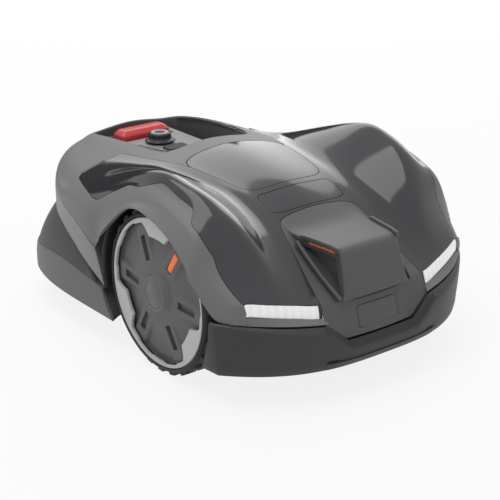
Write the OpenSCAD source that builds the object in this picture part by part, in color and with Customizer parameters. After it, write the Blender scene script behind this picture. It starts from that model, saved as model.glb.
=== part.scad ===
// Robotic lawn mower: floating outer body over a chassis with two drive wheels, two rear casters and a
// height-adjustable cutter. Front faces -Y, ground is Z = 0, the machine's right side is -X.

/* [Body] */
// Overall length from the bumper to the tail
body_l = 622; // [590:1:655]
// Overall width across the wheel-arch flares
body_w = 444; // [425:1:465]
// Overall height at the fender humps
body_h = 261; // [254:1:275]
// How far the wheel-arch flares stand out from the sides
flare_w = 14; // [8:1:16]
// Thickness of the outer panels
panel_t = 2; // [1.6:0.1:2.6]
// Thickness of the carrier shell under the panels
carrier_t = 2.4; // [2:0.1:3]
// Gap between a panel and what it sits on
panel_gap = 0.3; // [0.2:0.05:0.5]
// Height of the bumper's and the tail skirt's lower edge above the ground
skirt_z = 42; // [36:1:48]
// How far the outer body can shift fore and aft when it bumps
body_shift = 5; // [3:0.5:6]

/* [Front] */
// Height of the bumper's top at the headlights' inner ends
bumper_top = 99; // [94:1:103]
// Rise of the bumper's top towards its outer ends
bumper_rise = 14; // [10:1:16]
// Depth of the notch in the bumper for the nose
notch_h = 23; // [16:1:28]
// Wall of the bumper and of the tail skirt
skirt_t = 4; // [3:0.5:6]
// Width of the chamfer along the bumper's top at its middle
chamfer_w = 8; // [5:0.5:10]
// Height of the headlight strips
lamp_h = 12; // [9:0.5:14]
// Thickness of the headlight lenses
lamp_t = 3; // [2:0.5:4]
// Height of the flat top of the nose's sensor hump
hump_z = 183; // [178:1:188]
// Width of the sensor hump
hump_w = 100; // [88:1:106]
// Width and height of the window in the lower nose
nose_window_size = [70, 26]; // [20:1:74]

/* [Wheels] */
// Diameter of a drive wheel
wheel_d = 220; // [210:1:226]
// Width of a drive wheel's tyre
wheel_w = 46; // [38:1:50]
// Distance of the drive axle in front of the body's middle
axle_ahead = 102; // [96:1:108]
// Gap between a tyre's outer side and the arch flare's outer face
wheel_inset = 12; // [9:1:16]
// Height of the tread lugs
lug_h = 4; // [2:0.5:6]
// Number of tread lugs
lug_count = 26; // [16:1:32]
// Radial height of the tyre from its bead to the tread
tyre_depth = 16; // [12:1:20]
// Diameter of the drive axle
axle_d = 12; // [10:0.5:14]
// Diameter of a gear motor
gearmotor_d = 52; // [44:1:56]

/* [Casters] */
// Diameter of a rear caster wheel
caster_d = 64; // [56:1:68]
// Width of a caster wheel
caster_w = 24; // [18:1:28]
// Distance of a caster's wheel behind its stem
caster_trail = 24; // [18:1:28]
// Distance of a caster's stem from the middle plane
caster_x = 118; // [110:1:124]
// Distance of a caster's stem behind the body's middle
caster_y = 203; // [196:1:208]
// Diameter of a caster's stem
stem_d = 12; // [10:0.5:14]

/* [Cutter] */
// Radius of the blade disc
disc_r = 100; // [90:1:105]
// Distance of the cutter's axis behind the body's middle
cutter_y = 46; // [42:1:48]
// Cutting height with the cutter at rest
cut_z = 34; // [30:1:38]
// Diameter of the cutter carriage
carriage_d = 76; // [70:1:80]
// Travel of the cutter each way from rest
cut_travel = 15; // [10:1:16]
// Length of a blade
blade_l = 36; // [30:1:40]
// Radius of the skid plate
skid_r = 76; // [60:1:84]
// Diameter of the cutter shaft
cutter_shaft_d = 8; // [6:0.5:10]

/* [Chassis] */
// Gap between the chassis tub and a drive wheel's inner side
wheel_gap = 19; // [15:1:29]
// Height of the tub's floor above the ground
tub_z = 70; // [66:1:74]
// Height of the tub's rim above the ground
tub_top = 145; // [142:1:150]
// Wall of the chassis parts
tub_t = 3; // [2.5:0.5:4]

/* [Controls] */
// Width of the control deck
deck_w = 116; // [106:1:120]
// Depth of the deck's floor below the body's highest point
deck_drop = 57; // [53:1:63]
// Length and width of the stop bar
stop_size = [86, 32]; // [28:1:104]
// Press travel of the stop bar
stop_travel = 5; // [3:0.5:6]
// Diameter of the knob
knob_d = 34; // [28:1:38]
// Press travel of the knob
knob_travel = 2; // [1:0.5:2.5]

/* [Hidden] */
// Radial clearance of a shaft that turns or slides in a bore
run_fit = 0.05;
// Clearance of faces that pass each other
pass_gap = 0.5;
$fn = 64;

half_l = body_l / 2;
half_w = body_w / 2;
wheel_r = wheel_d / 2;
axle_y = -axle_ahead;
axle_z = wheel_r;
wheel_out = half_w - wheel_inset;
wheel_in = wheel_out - wheel_w;

// The rails of the body are drawn for this width, length and height, and stretch to the set ones
drawn = [444, 622, 261];
stretch = [body_w / drawn[0], body_l / drawn[1], body_h / drawn[2]];
rail_front = -287;
rail_rear = 292;

// Rails of the outer surface, from the middle to the flare's edge: [y, x, z]
centre_rail = [
    [-287, 0, 117], [-240, 0, 152], [-172, 0, 197], [-119, 0, 220], [-60, 0, 232], [12, 0, 239],
    [80, 0, 239], [160, 0, 235], [230, 0, 229], [275, 0, 216], [292, 0, 199]
];
spine_rail = [
    [-287, 86, 121], [-240, 78, 151], [-172, 67, 193], [-119, 66, 215], [-60, 71, 225], [12, 77, 231],
    [62, 76, 231], [160, 80, 228], [230, 76, 221], [270, 64, 212], [292, 26, 198]
];
valley_rail = [
    [-287, 118, 123], [-240, 112, 157], [-172, 104, 195], [-119, 103, 213], [-60, 107, 221], [12, 114, 225],
    [62, 120, 221], [160, 124, 212], [230, 108, 210], [270, 84, 206], [292, 38, 195]
];
ridge_rail = [
    [-287, 150, 126], [-245, 142, 171], [-214, 147, 201], [-178, 156, 228], [-150, 163, 245],
    [-114, 169, 255], [-77, 171, 261], [-36, 171, 253], [0, 171, 242], [40, 168, 228], [80, 164, 214],
    [160, 158, 197], [230, 134, 199], [270, 102, 199], [292, 50, 190]
];
shoulder_rail = [
    [-287, 180, 130], [-245, 188, 173], [-200, 191, 204], [-160, 191, 227], [-114, 191, 241],
    [-77, 192, 245], [-36, 193, 237], [0, 194, 223], [50, 194, 207], [98, 190, 198], [160, 178, 184],
    [230, 150, 186], [270, 114, 188], [292, 60, 184]
];
lip_rail = [
    [-287, 207, 128], [-245, 215, 163], [-200, 207, 188], [-150, 208, 215], [-100, 208, 228],
    [-60, 208, 223], [-20, 208, 208], [20, 208, 189], [53, 213, 178], [98, 208, 177], [146, 197, 175],
    [200, 175, 174], [240, 148, 174], [270, 119, 176], [292, 66, 174]
];
rails = [centre_rail, spine_rail, valley_rail, ridge_rail, shoulder_rail, lip_rail];
lip = 5;
hem = 6;
// Side panels' lower edge behind the wheel: [y, z]
rear_hem = [[34, 77], [88, 110], [151, 153], [200, 158], [292, 158]];

// Wheel arch: an ellipse in the side of the body
arch_y = axle_y + 12;
arch_z = axle_z - 2;
arch_half = [wheel_r + 14, wheel_r];

// Front edge of the body bows back towards the sides
bow_back = 40;
bow_x = 183;

// Where the panels meet, along the body
nose_end = -172;
label_span = [-151, -119];
hatch_span = [-97, 12];
opening_span = [62, 270];
hood_end = 100;

// Rows and columns of the panels' grids
hood_rows = [
    -287, -275, -262, -248, -234, -220, -206, -192, -172, -151, -135, -119, -97, -80, -62, -44, -26, -8, 12,
    40, 62, 82, 100
];
rear_rows = concat(
    [for (t = [0:0.125:1]) blend(hood_end, opening_span[1], t)],
    [for (t = [0.4:0.3:1]) blend(opening_span[1], rail_rear, t)]);
side_rows = [
    -287, -275, -262, -254, -246, -238, -230, -222, -214, -206, -192, -178, -164, -151, -135, -119, -97, -80,
    -62, -44, -26, -8, 6, 16, 24, 29, 32, 33.9
];
half_cols = [0.5, 1, 1.4, 1.8, 2.2, 2.6, 3, 3.4, 3.7, 4];
edge_cols = [4.3, 4.6, 4.8, 5, 5.5, 6];

function unit(v) = v / norm(v);
function ease(t) = let (c = max(0, min(1, t))) c * c * (3 - 2 * c);
function blend(a, b, t) = a + (b - a) * t;
function mirrored(list) = [for (i = [len(list) - 1:-1:0]) -list[i]];
function across(cols) = concat(mirrored(cols), [0], cols);

// Smooth curve through a rail's points
function knot(rail, y, i = 0) = i >= len(rail) - 2 || y < rail[i + 1][0] ? i : knot(rail, y, i + 1);
function rise(rail, i, c) =
    let (a = max(0, i - 1), b = min(len(rail) - 1, i + 1))
    (rail[b][c] - rail[a][c]) / (rail[b][0] - rail[a][0]);
function along(rail, y, c) =
    let (i = knot(rail, y), h = rail[i + 1][0] - rail[i][0], t = (y - rail[i][0]) / h, u = 1 - t)
    u * u * (1 + 2 * t) * rail[i][c] + u * u * t * h * rise(rail, i, c)
    + t * t * (3 - 2 * t) * rail[i + 1][c] - t * t * u * h * rise(rail, i + 1, c);

// Height of the lower edge of the side panels at a true y
function arch_height(y) =
    let (t = (y - arch_y) / arch_half[0])
    abs(t) < 1 ? arch_z + arch_half[1] * sqrt(1 - t * t) : 0;
function side_bottom(y) = y < rear_hem[0][0] * stretch[1] ?
    max((bumper_top + bumper_rise) * stretch[2] + panel_gap, arch_height(y))
    : along(rear_hem, y / stretch[1], 1) * stretch[2];

function bow(x, y) = bow_back * pow(x / bow_x, 2.2) * (1 - ease((y + 270) / 100));
function rail_point(k, y) = k < 0 ? let (p = rail_point(-k, y)) [-p[0], p[1]]
    : k <= lip ? [along(rails[k], y, 1), along(rails[k], y, 2)]
    : rail_point(lip, y) + [0, -25];
function spline(a, b, c, d, t) =
    b + (c - a) * t / 2 + (2 * a - 5 * b + 4 * c - d) * t * t / 2 + (3 * b - a - 3 * c + d) * t * t * t / 2;
function hem_point(y) =
    let (p = rail_point(lip, y), true_y = (y + bow(p[0], y)) * stretch[1])
    [p[0] + flare(y), min(side_bottom(true_y) / stretch[2], p[1] - 6)];
function flare(y) = flare_w * ease((y + 240) / 40) * (1 - ease(y / 40));
function section_point(v, y) =
    let (i = min(lip - 1, floor(v)), t = v - i)
    v > lip ? blend(rail_point(lip, y), hem_point(y), v - lip)
    : spline(rail_point(i - 1, y), rail_point(i, y), rail_point(i + 1, y), rail_point(i + 2, y), t);

// Point of the outer surface: v counts rails from the middle, negative to the right
function body_at(v, y) =
    let (q = section_point(abs(v), y))
    [(v < 0 ? -q[0] : q[0]) * stretch[0], (y + bow(q[0], y)) * stretch[1], q[1] * stretch[2]];
function normal(v, y) =
    let (e = 0.02, d = 1)
    unit(cross(
        body_at(min(hem, v + e), y) - body_at(max(-hem, v - e), y),
        body_at(v, min(rail_rear, y + d)) - body_at(v, max(rail_front, y - d))));
function skin(v, y, depth) = body_at(v, y) - normal(v, y) * depth;
function skin_grid(rows, cols, depth) = [for (y = rows) [for (v = cols) skin(v, y, depth)]];

// Depths of the two layers of the body below its outer surface
carrier_top = panel_t + panel_gap;
carrier_bottom = carrier_top + carrier_t;

// Plan outline of the bumper, and the height of its top
front_depth = 83;
front_half = 212 * stretch[0];
function front_y(x) = -half_l + front_depth * pow(abs(x) / front_half, 3);
function front_out(x) =
    let (s = 3 * front_depth * pow(abs(x), 2) / pow(front_half, 3) * sign(x))
    unit([s, -1, 0]);
notch_in = 56 * stretch[0];
notch_out = 88 * stretch[0];
function bumper_edge(x) =
    let (a = abs(x))
    stretch[2] * (a < notch_in ? bumper_top - notch_h
    : a < notch_out ? blend(bumper_top - notch_h, bumper_top, (a - notch_in) / (notch_out - notch_in))
    : bumper_top + bumper_rise * (a - notch_out) / (front_half - notch_out));

function chamfer_at(x) = blend(chamfer_w, 3, ease(abs(x) / front_half));

// Wheel and chassis places
tub_front = -215 * stretch[1];
tub_mid = 150 * stretch[1];
tub_rear = 228 * stretch[1];
tub_half = wheel_in - wheel_gap;
tub_w = 2 * tub_half;
rear_floor = caster_d + 24;
rear_half = caster_x + 24;
lid_z = tub_top + tub_t;
guide_wall = 4;
guide_z = tub_z - 8;
carriage_r = carriage_d / 2;
carriage_floor = cut_z + 20;
carriage_floor_t = 4;
motor_z = carriage_floor + carriage_floor_t;
motor_h = 24;
cap_z = motor_z + motor_h + 2 * cut_travel + 2;
cap_t = 6;
screw_d = 10;
screw_z = motor_z + motor_h + cut_travel + 1.5;
height_motor_h = 34;
disc_t = 4;
disc_z = cut_z + 2;
pivot_r = disc_r - 14;
pivot_d = 6;
blade_t = 0.8;
skid_z = cut_z - 10;
skid_t = 3;

// Deck, knob and stop bar places
deck_z = body_h - deck_drop;
deck_front = (opening_span[0] + 10) * stretch[1];
deck_rear = (opening_span[1] - 10) * stretch[1];
stop_y = deck_rear - 5 - stop_size[1] / 2 - 2;
pocket_gap = 3;
pocket_h = 10;
stop_lift = stop_travel + 1;
stop_h = 17;
stop_stem_d = 8;
stop_stem_x = stop_size[0] / 2 - 18;
knob_y = stop_y - stop_size[1] / 2 - knob_d / 2 - 16;
knob_stem_d = 10;
knob_h = 13;
knob_z = deck_z + knob_travel + pass_gap;
window_size = [36, 22, 3];
window_at = [2, knob_y - knob_d / 2 - 22];
post_d = 20;
post_at = [[104, -146], [104, 128]];
post_top = lid_z + 14;

// Closed shell over the kept cells of two matching grids of points
module grid_shell(outer, inner, keep = function(i, j) true) {
    n = len(outer);
    m = len(outer[0]);
    o = n * m;
    id = function(i, j) i * m + j;
    has = function(i, j) i >= 0 && j >= 0 && i < n - 1 && j < m - 1 && keep(i, j);
    wall = function(a, b) [[b, a, o + a], [b, o + a, o + b]];
    faces = [
        for (i = [0:n - 2], j = [0:m - 2])
            if (has(i, j))
                let (a = id(i, j), b = id(i + 1, j), c = id(i + 1, j + 1), d = id(i, j + 1))
                each concat(
                    [[a, b, c], [a, c, d], [o + a, o + c, o + b], [o + a, o + d, o + c]],
                    has(i, j - 1) ? [] : wall(a, b),
                    has(i + 1, j) ? [] : wall(b, c),
                    has(i, j + 1) ? [] : wall(c, d),
                    has(i - 1, j) ? [] : wall(d, a))
    ];
    polyhedron(concat([for (r = outer) each r], [for (r = inner) each r]), faces, convexity = 12);
}

// Solid swept through a row of matching closed sections
module sweep(sections) {
    n = len(sections);
    m = len(sections[0]);
    sides = [
        for (i = [0:n - 2], j = [0:m - 1])
            let (k = (j + 1) % m, a = i * m + j, b = i * m + k, c = a + m, d = b + m)
            each [[a, b, d], [a, d, c]]
    ];
    start = [for (j = [m - 1:-1:0]) j];
    end = [for (j = [0:m - 1]) (n - 1) * m + j];
    polyhedron([for (s = sections) each s], concat(sides, [start, end]), convexity = 12);
}

// Rectangle with round corners
module round_rect(size, r) {
    square([size[0] - 2 * r, size[1]], center = true);
    square([size[0], size[1] - 2 * r], center = true);
    for (x = [-1, 1], y = [-1, 1])
        translate([x * (size[0] / 2 - r), y * (size[1] / 2 - r)])
            circle(r);
}

// Solid of revolution about an axis along +X, at a point
module turned(at) {
    translate(at)
        rotate([0, 90, 0])
            children();
}

// Copy on the machine's right side
module on_right() {
    mirror([1, 0, 0])
        children();
}

module body_shell() {
    front = -265;
    rows = concat(
        [for (y = hood_rows) if (y > front) y],
        [for (i = [1:len(rear_rows) - 1]) if (rear_rows[i] <= opening_span[1]) rear_rows[i]]);
    cols = across(concat(half_cols, [edge_cols[0]]));
    keep = function(i, j)
        let (y = rows[i], v = (cols[j] + cols[j + 1]) / 2)
        !(abs(v) < (y > opening_span[1] - 40 ? 1.4 : 1) && y >= opening_span[0]);
    color("#3c3d3f")
        grid_shell(skin_grid(rows, cols, carrier_top), skin_grid(rows, cols, carrier_bottom), keep);
}

// Height of the carrier's inner face over a round spot, found from the rails round it
function roof(x, y, r) =
    let (v = valley_v(x, y / stretch[1]))
    min([for (d = [-r, r]) skin(v, y / stretch[1] + d, carrier_bottom)[2],
         for (d = [-0.25, 0.25]) skin(v + d, y / stretch[1], carrier_bottom)[2]]);
// Rail count of a spot between the spine and the ridge
function valley_v(x, y) =
    let (a = along(spine_rail, y, 1), b = along(valley_rail, y, 1), s = x / stretch[0])
    1 + (s - a) / (b - a);

module shell_mounts() {
    color("#3c3d3f")
        for (side = [-1, 1], p = post_at)
            let (at = [p[0] * stretch[0], p[1] * stretch[1]])
            translate([side * at[0], at[1], post_top])
                cylinder(d = post_d - 4, h = roof(at[0], at[1], post_d / 2) - post_top - panel_gap);
}

module hood() {
    rows = hood_rows;
    cols = across(half_cols);
    keep = function(i, j)
        let (y = rows[i], v = abs(cols[j] + cols[j + 1]) / 2)
        !(v < 1 && (y < nose_end || y >= label_span[0] && y < label_span[1]))
        && !(v < 1 && y >= hatch_span[0])
        && !(v < 1.4 && y >= hatch_span[1]);
    color("#45474b")
        grid_shell(skin_grid(rows, cols, 0), skin_grid(rows, cols, panel_t), keep);
}

module rear_cover() {
    rows = concat([hatch_span[1], 40, opening_span[0], 82], rear_rows);
    cols = across(concat(half_cols, edge_cols));
    keep = function(i, j)
        let (y = rows[i], v = abs(cols[j] + cols[j + 1]) / 2)
        (y >= hood_end || v < 1.4 || v > 4 && y >= 40)
        && !(v < 1 && y >= opening_span[0] && y < opening_span[1]);
    color("#7d7e80")
        grid_shell(skin_grid(rows, cols, 0), skin_grid(rows, cols, panel_t), keep);
}

module side_panel() {
    cols = concat([4], edge_cols);
    rows = concat(side_rows, [34.1, 40]);
    color("#6a6a6a")
        grid_shell(skin_grid(rows, cols, 0), skin_grid(rows, cols, panel_t));
}

module right_side_panel() {
    on_right()
        side_panel();
}

module left_side_panel() {
    side_panel();
}

// Plate of the middle panels between two rows
module middle_plate(span, edge) {
    rows = [for (t = [0:1 / 8:1]) blend(span[0] + edge, span[1] - edge, t)];
    cols = [for (t = [-1:0.25:1]) t * (1 - edge / 80)];
    grid_shell(skin_grid(rows, cols, 0), skin_grid(rows, cols, panel_t));
}

module label_plate() {
    color("#606163")
        middle_plate(label_span, 0.4);
}

module hatch() {
    color("#7b7c7f")
        middle_plate(hatch_span, 0.6);
}

// Nose: the body's surface raised into a hump, then a lower face down to the bumper's notch
hump_span = [-273, -209];
hump_foot = -286;
hump_foot_z = 125;
hump_u = 0.6;
slope_u = 0.7;
lower_nose = 302;
// Column of the hump's edge between the middle (0) and the nose's side (1)
function hump_edge(y) = hump_w / 100 * blend(0.575, 0.76, ease((y - hump_span[0]) / (hump_span[1] - hump_span[0])));
function nose_v(u, y) =
    let (a = abs(u), e = hump_edge(y), f = e + 0.1)
    sign(u) * (a < hump_u ? a / hump_u * e
        : a < slope_u ? blend(e, f, (a - hump_u) / (slope_u - hump_u))
        : blend(f, 0.99, (a - slope_u) / (1 - slope_u)));
function hump_height(y) =
    blend(hump_foot_z, hump_z, ease((y - hump_foot) / (hump_span[0] - hump_foot)));
function nose_point(u, y) =
    let (p = body_at(nose_v(u, y), y), side = ease((slope_u - abs(u)) / (slope_u - hump_u)))
    [p[0], p[1], blend(p[2], max(p[2], hump_height(y)), side)];
function nose_bottom(u) =
    let (v = nose_v(u, rail_front), x = v * notch_out)
    [x, -lower_nose * stretch[1] + 8 * v * v, bumper_edge(x) + panel_gap];
function lower_point(u, t) = blend(nose_point(u, rail_front), nose_bottom(u), t);

module nose_cover() {
    cols = across([0.2, 0.4, 0.52, 0.6, 0.625, 0.65, 0.675, 0.7, 0.76, 0.84, 0.92, 1]);
    rows = [-287, -284, -281, -278, -275, -272, -262, -250, -238, -226, -214, -205, -196, -188, -180, -172.4];
    drops = [1, 0.75, 0.5, 0.25];
    face = 2.5;
    outer = concat(
        [for (t = drops) [for (u = cols) lower_point(u, t)]],
        [for (y = rows) [for (u = cols) nose_point(u, y)]]);
    inner = concat(
        [for (t = drops) [for (u = cols) lower_point(u, t) + [0, face, 0]]],
        [for (y = rows) [for (u = cols) nose_point(u, y) + [0, y < -270 ? face : 0, -panel_t]]]);
    color("#555557")
        grid_shell(outer, inner);
}

module nose_window() {
    lean = atan2(lower_nose * stretch[1] - 287 * stretch[1], 117 * stretch[2] - bumper_top + notch_h);
    middle = lower_point(0, 0.5);
    color("#2e2f31")
        translate(middle)
            rotate([-lean, 0, 0])
                translate([-nose_window_size[0] / 2, -panel_t - 1.2, -nose_window_size[1] / 2])
                    cube([nose_window_size[0], panel_t, nose_window_size[1]]);
}

module amber_strip() {
    high = 0.632;
    sweep([for (y = [-256, -243, -230])
        let (p = nose_point(high, y))
        [p + [0.4, 0, 0], p + [1.4, 0, -3.5], p + [3.4, 0, -3.5], p + [2.6, 0, 0]]]);
}

module amber_strips() {
    color("#d8703a")
        union() {
            amber_strip();
            on_right()
                amber_strip();
        }
}

// Headlight along the front edge of the hood: the edge, its outward direction and the drop to the bumper
function lamp_edge(v) = body_at(v, rail_front);
function lamp_out(v) =
    let (t = lamp_edge(v + 0.05) - lamp_edge(v - 0.05))
    unit([t[1], -t[0], 0]);
function lamp_at(v, out, down) = lamp_edge(v) + lamp_out(v) * out - [0, 0, down];
function strip_foot(v, back) =
    let (e = lamp_edge(v), n = lamp_out(v), p = e + n * ((e[1] - front_y(e[0])) * -n[1]
         - chamfer_at(e[0]) - back))
    [p[0], p[1], bumper_edge(p[0]) + 3 * panel_gap];
lamp_cols = [for (v = [1.03:0.25:4.04]) v];
housing_cols = [for (v = [1.01:0.24:4.4]) v];
// Inner and outer edge of the lens's top, how far it leans out at its foot, and its back face at a drop
lamp_top = [0.2, 1.4];
function lamp_lean(v) = blend(6, 2, (v - 1) / 3);
function lamp_back(v, down) =
    blend(lamp_top[0], lamp_lean(v) - lamp_t, (down - panel_gap) / (lamp_h - panel_gap));

module headlight_lens() {
    color("#f4f4f2")
        sweep([for (v = lamp_cols) [
            lamp_at(v, lamp_top[1], panel_gap), lamp_at(v, lamp_lean(v), lamp_h),
            lamp_at(v, lamp_back(v, lamp_h), lamp_h), lamp_at(v, lamp_top[0], panel_gap)]]);
}

module headlight_housing() {
    bed_top = carrier_bottom;
    bed_foot = lamp_h + panel_gap;
    color("#5c5d5f")
        sweep([for (v = housing_cols) [
            lamp_at(v, lamp_back(v, bed_top) - panel_gap, bed_top),
            lamp_at(v, lamp_back(v, bed_foot) - panel_gap, bed_foot),
            lamp_at(v, lamp_lean(v) + 0.5, bed_foot), strip_foot(v, 0.5), strip_foot(v, 4.5),
            lamp_at(v, lamp_back(v, bed_foot) - 3, bed_foot + 2),
            lamp_at(v, -5, bed_top + 3)]]);
}

module right_headlight_lens() {
    on_right()
        headlight_lens();
}

module left_headlight_lens() {
    headlight_lens();
}

module right_headlight_housing() {
    on_right()
        headlight_housing();
}

module left_headlight_housing() {
    headlight_housing();
}

module front_bumper() {
    tuck = 5;
    reach = 0.985 * front_half;
    xs = concat(
        [for (t = [-1:0.075:-0.475]) t * reach], [-notch_out, -notch_in],
        [for (t = [-0.2:0.1:0.2]) t * reach], [notch_in, notch_out],
        [for (t = [0.475:0.075:1.01]) min(1, t) * reach]);
    section = function(x, turn)
        let (n = front_out(x), c = chamfer_at(x), at = [x, front_y(x), 0] + turn,
             top = at + [0, 0, bumper_edge(x)] - n * c, face = at + [0, 0, bumper_edge(x) - c],
             foot = at + [0, 0, skirt_z] - n * tuck)
        [top, face, foot, foot - n * skirt_t, face - n * skirt_t - [0, 0, 2], top - n * skirt_t];
    color("#3a3b3c")
        sweep(concat(
            [section(-reach, [-4, 10, 0])], [for (x = xs) section(x, [0, 0, 0])],
            [section(reach, [4, 10, 0])]));
}

// Plan outlines of the rear: the hem of the upper body and the foot of the tail skirt
function rounded(half, start, end, power, a) =
    [half * sign(cos(a)) * pow(abs(cos(a)), 2 / power), start + (end - start) * pow(sin(a), 2 / power)];
tail_start = 40 * stretch[1];
tail_lead = 34;
function hem_plan(a) = rounded(208 * stretch[0], tail_start, 290 * stretch[1], 2.4, a);
function foot_plan(a) = rounded(220 * stretch[0], tail_start, half_l, 3.2, a);
function tail_section(a, lead) =
    let (h = hem_plan(a), f = foot_plan(a), n = unit([-f[0] / 3, tail_start - f[1], 0] - [f[0], 0, 0]),
         top_z = side_bottom(max(rear_hem[0][0] * stretch[1], h[1] - lead * 0.2)) - 3 * panel_gap,
         crease_z = blend(skirt_z, top_z, 0.45),
         top = [h[0], h[1] - lead * 0.2, top_z],
         crease = [f[0], f[1] - lead * 0.6, crease_z] + n * 2,
         foot = [f[0], f[1] - lead, skirt_z])
    [top, crease, foot, foot + n * skirt_t, crease + n * skirt_t, top + n * skirt_t];

module tail_skirt() {
    sections = concat(
        [tail_section(0, tail_lead)], [for (a = [0:6:180]) tail_section(a, 0)],
        [tail_section(180, tail_lead)]);
    color("#5f6062")
        sweep(sections);
}

// Wall that hangs from the edge of the control opening
module recess_wall() {
    wall = 2;
    clear = 1.4;
    side = [for (t = [0:0.125:1]) blend(opening_span[0], opening_span[1], t)];
    back = [0.8, 0.4, 0, -0.4, -0.8];
    rim = concat(
        [for (y = side) [1, y]], [for (v = back) [v, side[len(side) - 1]]],
        [for (i = [len(side) - 1:-1:0]) [-1, side[i]]], [for (v = back) [-v, side[0]]]);
    middle = [0, blend(side[0], side[len(side) - 1], 0.5) * stretch[1], 0];
    inward = function(p, d) let (q = p - middle) p - [sign(q[0]) * min(d, abs(q[0])), sign(q[1]) * d
        * (abs(q[1]) > 90 * stretch[1] ? 1 : 0), 0];
    ring = [for (r = rim) body_at(r[0], r[1])];
    loop = [for (p = ring) [inward(p, clear), inward(p, clear + wall)]];
    n = len(loop);
    sections = [for (i = [0:n])
        let (q = loop[i % n], low = deck_z - 20)
        [q[0] - [0, 0, 1], [q[0][0], q[0][1], low], [q[1][0], q[1][1], low], q[1] - [0, 0, 1]]];
    points = [for (i = [0:n - 1]) each sections[i]];
    faces = [
        for (i = [0:n - 1], j = [0:3])
            let (a = i * 4 + j, b = i * 4 + (j + 1) % 4, c = (i + 1) % n * 4 + j, d = (i + 1) % n * 4 + (j + 1) % 4)
            each [[a, b, d], [a, d, c]]
    ];
    color("#3f4042")
        polyhedron(points, faces, convexity = 8);
}

// Chassis: a tub with motor bays in front and a raised floor over the casters behind
module chassis_tub() {
    bush_r = stem_d / 2 + 3;
    guide_r = carriage_r + run_fit;
    color("#2c2d2e")
        difference() {
            union() {
                translate([-tub_half, tub_front, tub_z])
                    cube([tub_w, tub_mid - tub_front, tub_top - tub_z]);
                translate([-rear_half, tub_mid - 1, rear_floor])
                    cube([2 * rear_half, tub_rear - tub_mid + 1, tub_top - rear_floor]);
                translate([0, cutter_y, guide_z])
                    cylinder(r = guide_r + guide_wall, h = tub_z - guide_z + 1);
            }
            difference() {
                translate([-tub_half + tub_t, tub_front + tub_t, tub_z + tub_t])
                    cube([tub_w - 2 * tub_t, tub_mid - tub_front - 2 * tub_t, tub_top]);
                translate([0, cutter_y, guide_z])
                    cylinder(r = guide_r + guide_wall, h = tub_top - guide_z - 6);
            }
            difference() {
                translate([-rear_half + tub_t, tub_mid + tub_t, rear_floor + tub_t])
                    cube([2 * (rear_half - tub_t), tub_rear - tub_mid - 2 * tub_t, tub_top]);
                for (side = [-1, 1])
                    translate([side * caster_x, caster_y, rear_floor])
                        cylinder(r = bush_r + 5, h = 30);
            }
            translate([0, cutter_y, 0])
                cylinder(r = guide_r, h = tub_top + 1);
            for (side = [-1, 1])
                translate([side * caster_x, caster_y, 0])
                    cylinder(r = bush_r, h = tub_top + 1);
            for (side = [-1, 1])
                turned([side * (tub_half - tub_t / 2) - tub_t, axle_y, axle_z])
                    cylinder(r = axle_d / 2 + 8, h = 2 * tub_t);
        }
}

module chassis_lid() {
    tongue_w = deck_w + 6;
    color("#333436")
        difference() {
            translate([0, 0, tub_top])
                linear_extrude(tub_t)
                    union() {
                        translate([-tub_half, tub_front])
                            square([tub_w, tub_mid - tub_front]);
                        translate([-rear_half, tub_mid - 1])
                            square([2 * rear_half, tub_rear - tub_mid + 1]);
                        translate([-tongue_w / 2, tub_rear - 1])
                            square([tongue_w, deck_rear + 3 - tub_rear]);
                    }
            translate([0, cutter_y, tub_top - 1])
                cylinder(d = screw_d + 2 * run_fit, h = tub_t + 2);
        }
}

module sensor_posts() {
    color("#1f1f20")
        for (side = [-1, 1], p = post_at)
            translate([side * p[0] * stretch[0], p[1] * stretch[1], lid_z])
                cylinder(d = post_d, h = post_top - lid_z);
}

module control_deck() {
    deck_l = deck_rear - deck_front;
    middle = [0, (deck_front + deck_rear) / 2, 0];
    pocket = [stop_size[0] + 2 * pocket_gap, stop_size[1] + 2 * pocket_gap];
    color("#8a8b8d")
        difference() {
            translate(middle + [0, 0, lid_z])
                linear_extrude(deck_z - lid_z)
                    round_rect([deck_w, deck_l], 12);
            translate(middle + [0, 0, lid_z - 1])
                linear_extrude(deck_z - lid_z - pocket_h - tub_t)
                    round_rect([deck_w - 2 * tub_t, deck_l - 2 * tub_t], 9);
            translate([0, stop_y, deck_z - pocket_h])
                linear_extrude(pocket_h + 1)
                    round_rect(pocket, 10);
            for (side = [-1, 1])
                translate([side * stop_stem_x, stop_y, lid_z])
                    cylinder(d = stop_stem_d + 2 * run_fit, h = deck_z - lid_z);
            translate([0, knob_y, lid_z])
                cylinder(d = knob_stem_d + 2 * run_fit, h = deck_z - lid_z + 1);
        }
}

module status_window() {
    color("#1c1d1f")
        translate([window_at[0], window_at[1], deck_z])
            linear_extrude(window_size[2])
                round_rect([window_size[0], window_size[1]], 3);
}

module battery() {
    size = [150, 60, 48];
    color("#26282b")
        translate([-size[0] / 2, tub_front + tub_t + 4, tub_z + tub_t])
            cube(size);
}

module main_board() {
    size = [200, 34, 1.6];
    leg_h = 12;
    at = [-size[0] / 2, tub_mid - tub_t - 6 - size[1], tub_z + tub_t];
    color("#2f6b45")
        union() {
            translate(at + [0, 0, leg_h])
                cube(size);
            for (x = [6, size[0] - 6], y = [6, size[1] - 6])
                translate(at + [x, y, 0])
                    cylinder(d = 6, h = leg_h + 1);
            for (x = [30, 80, 130])
                translate(at + [x, 8, leg_h + 1])
                    cube([26, 18, 9]);
        }
}

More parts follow.
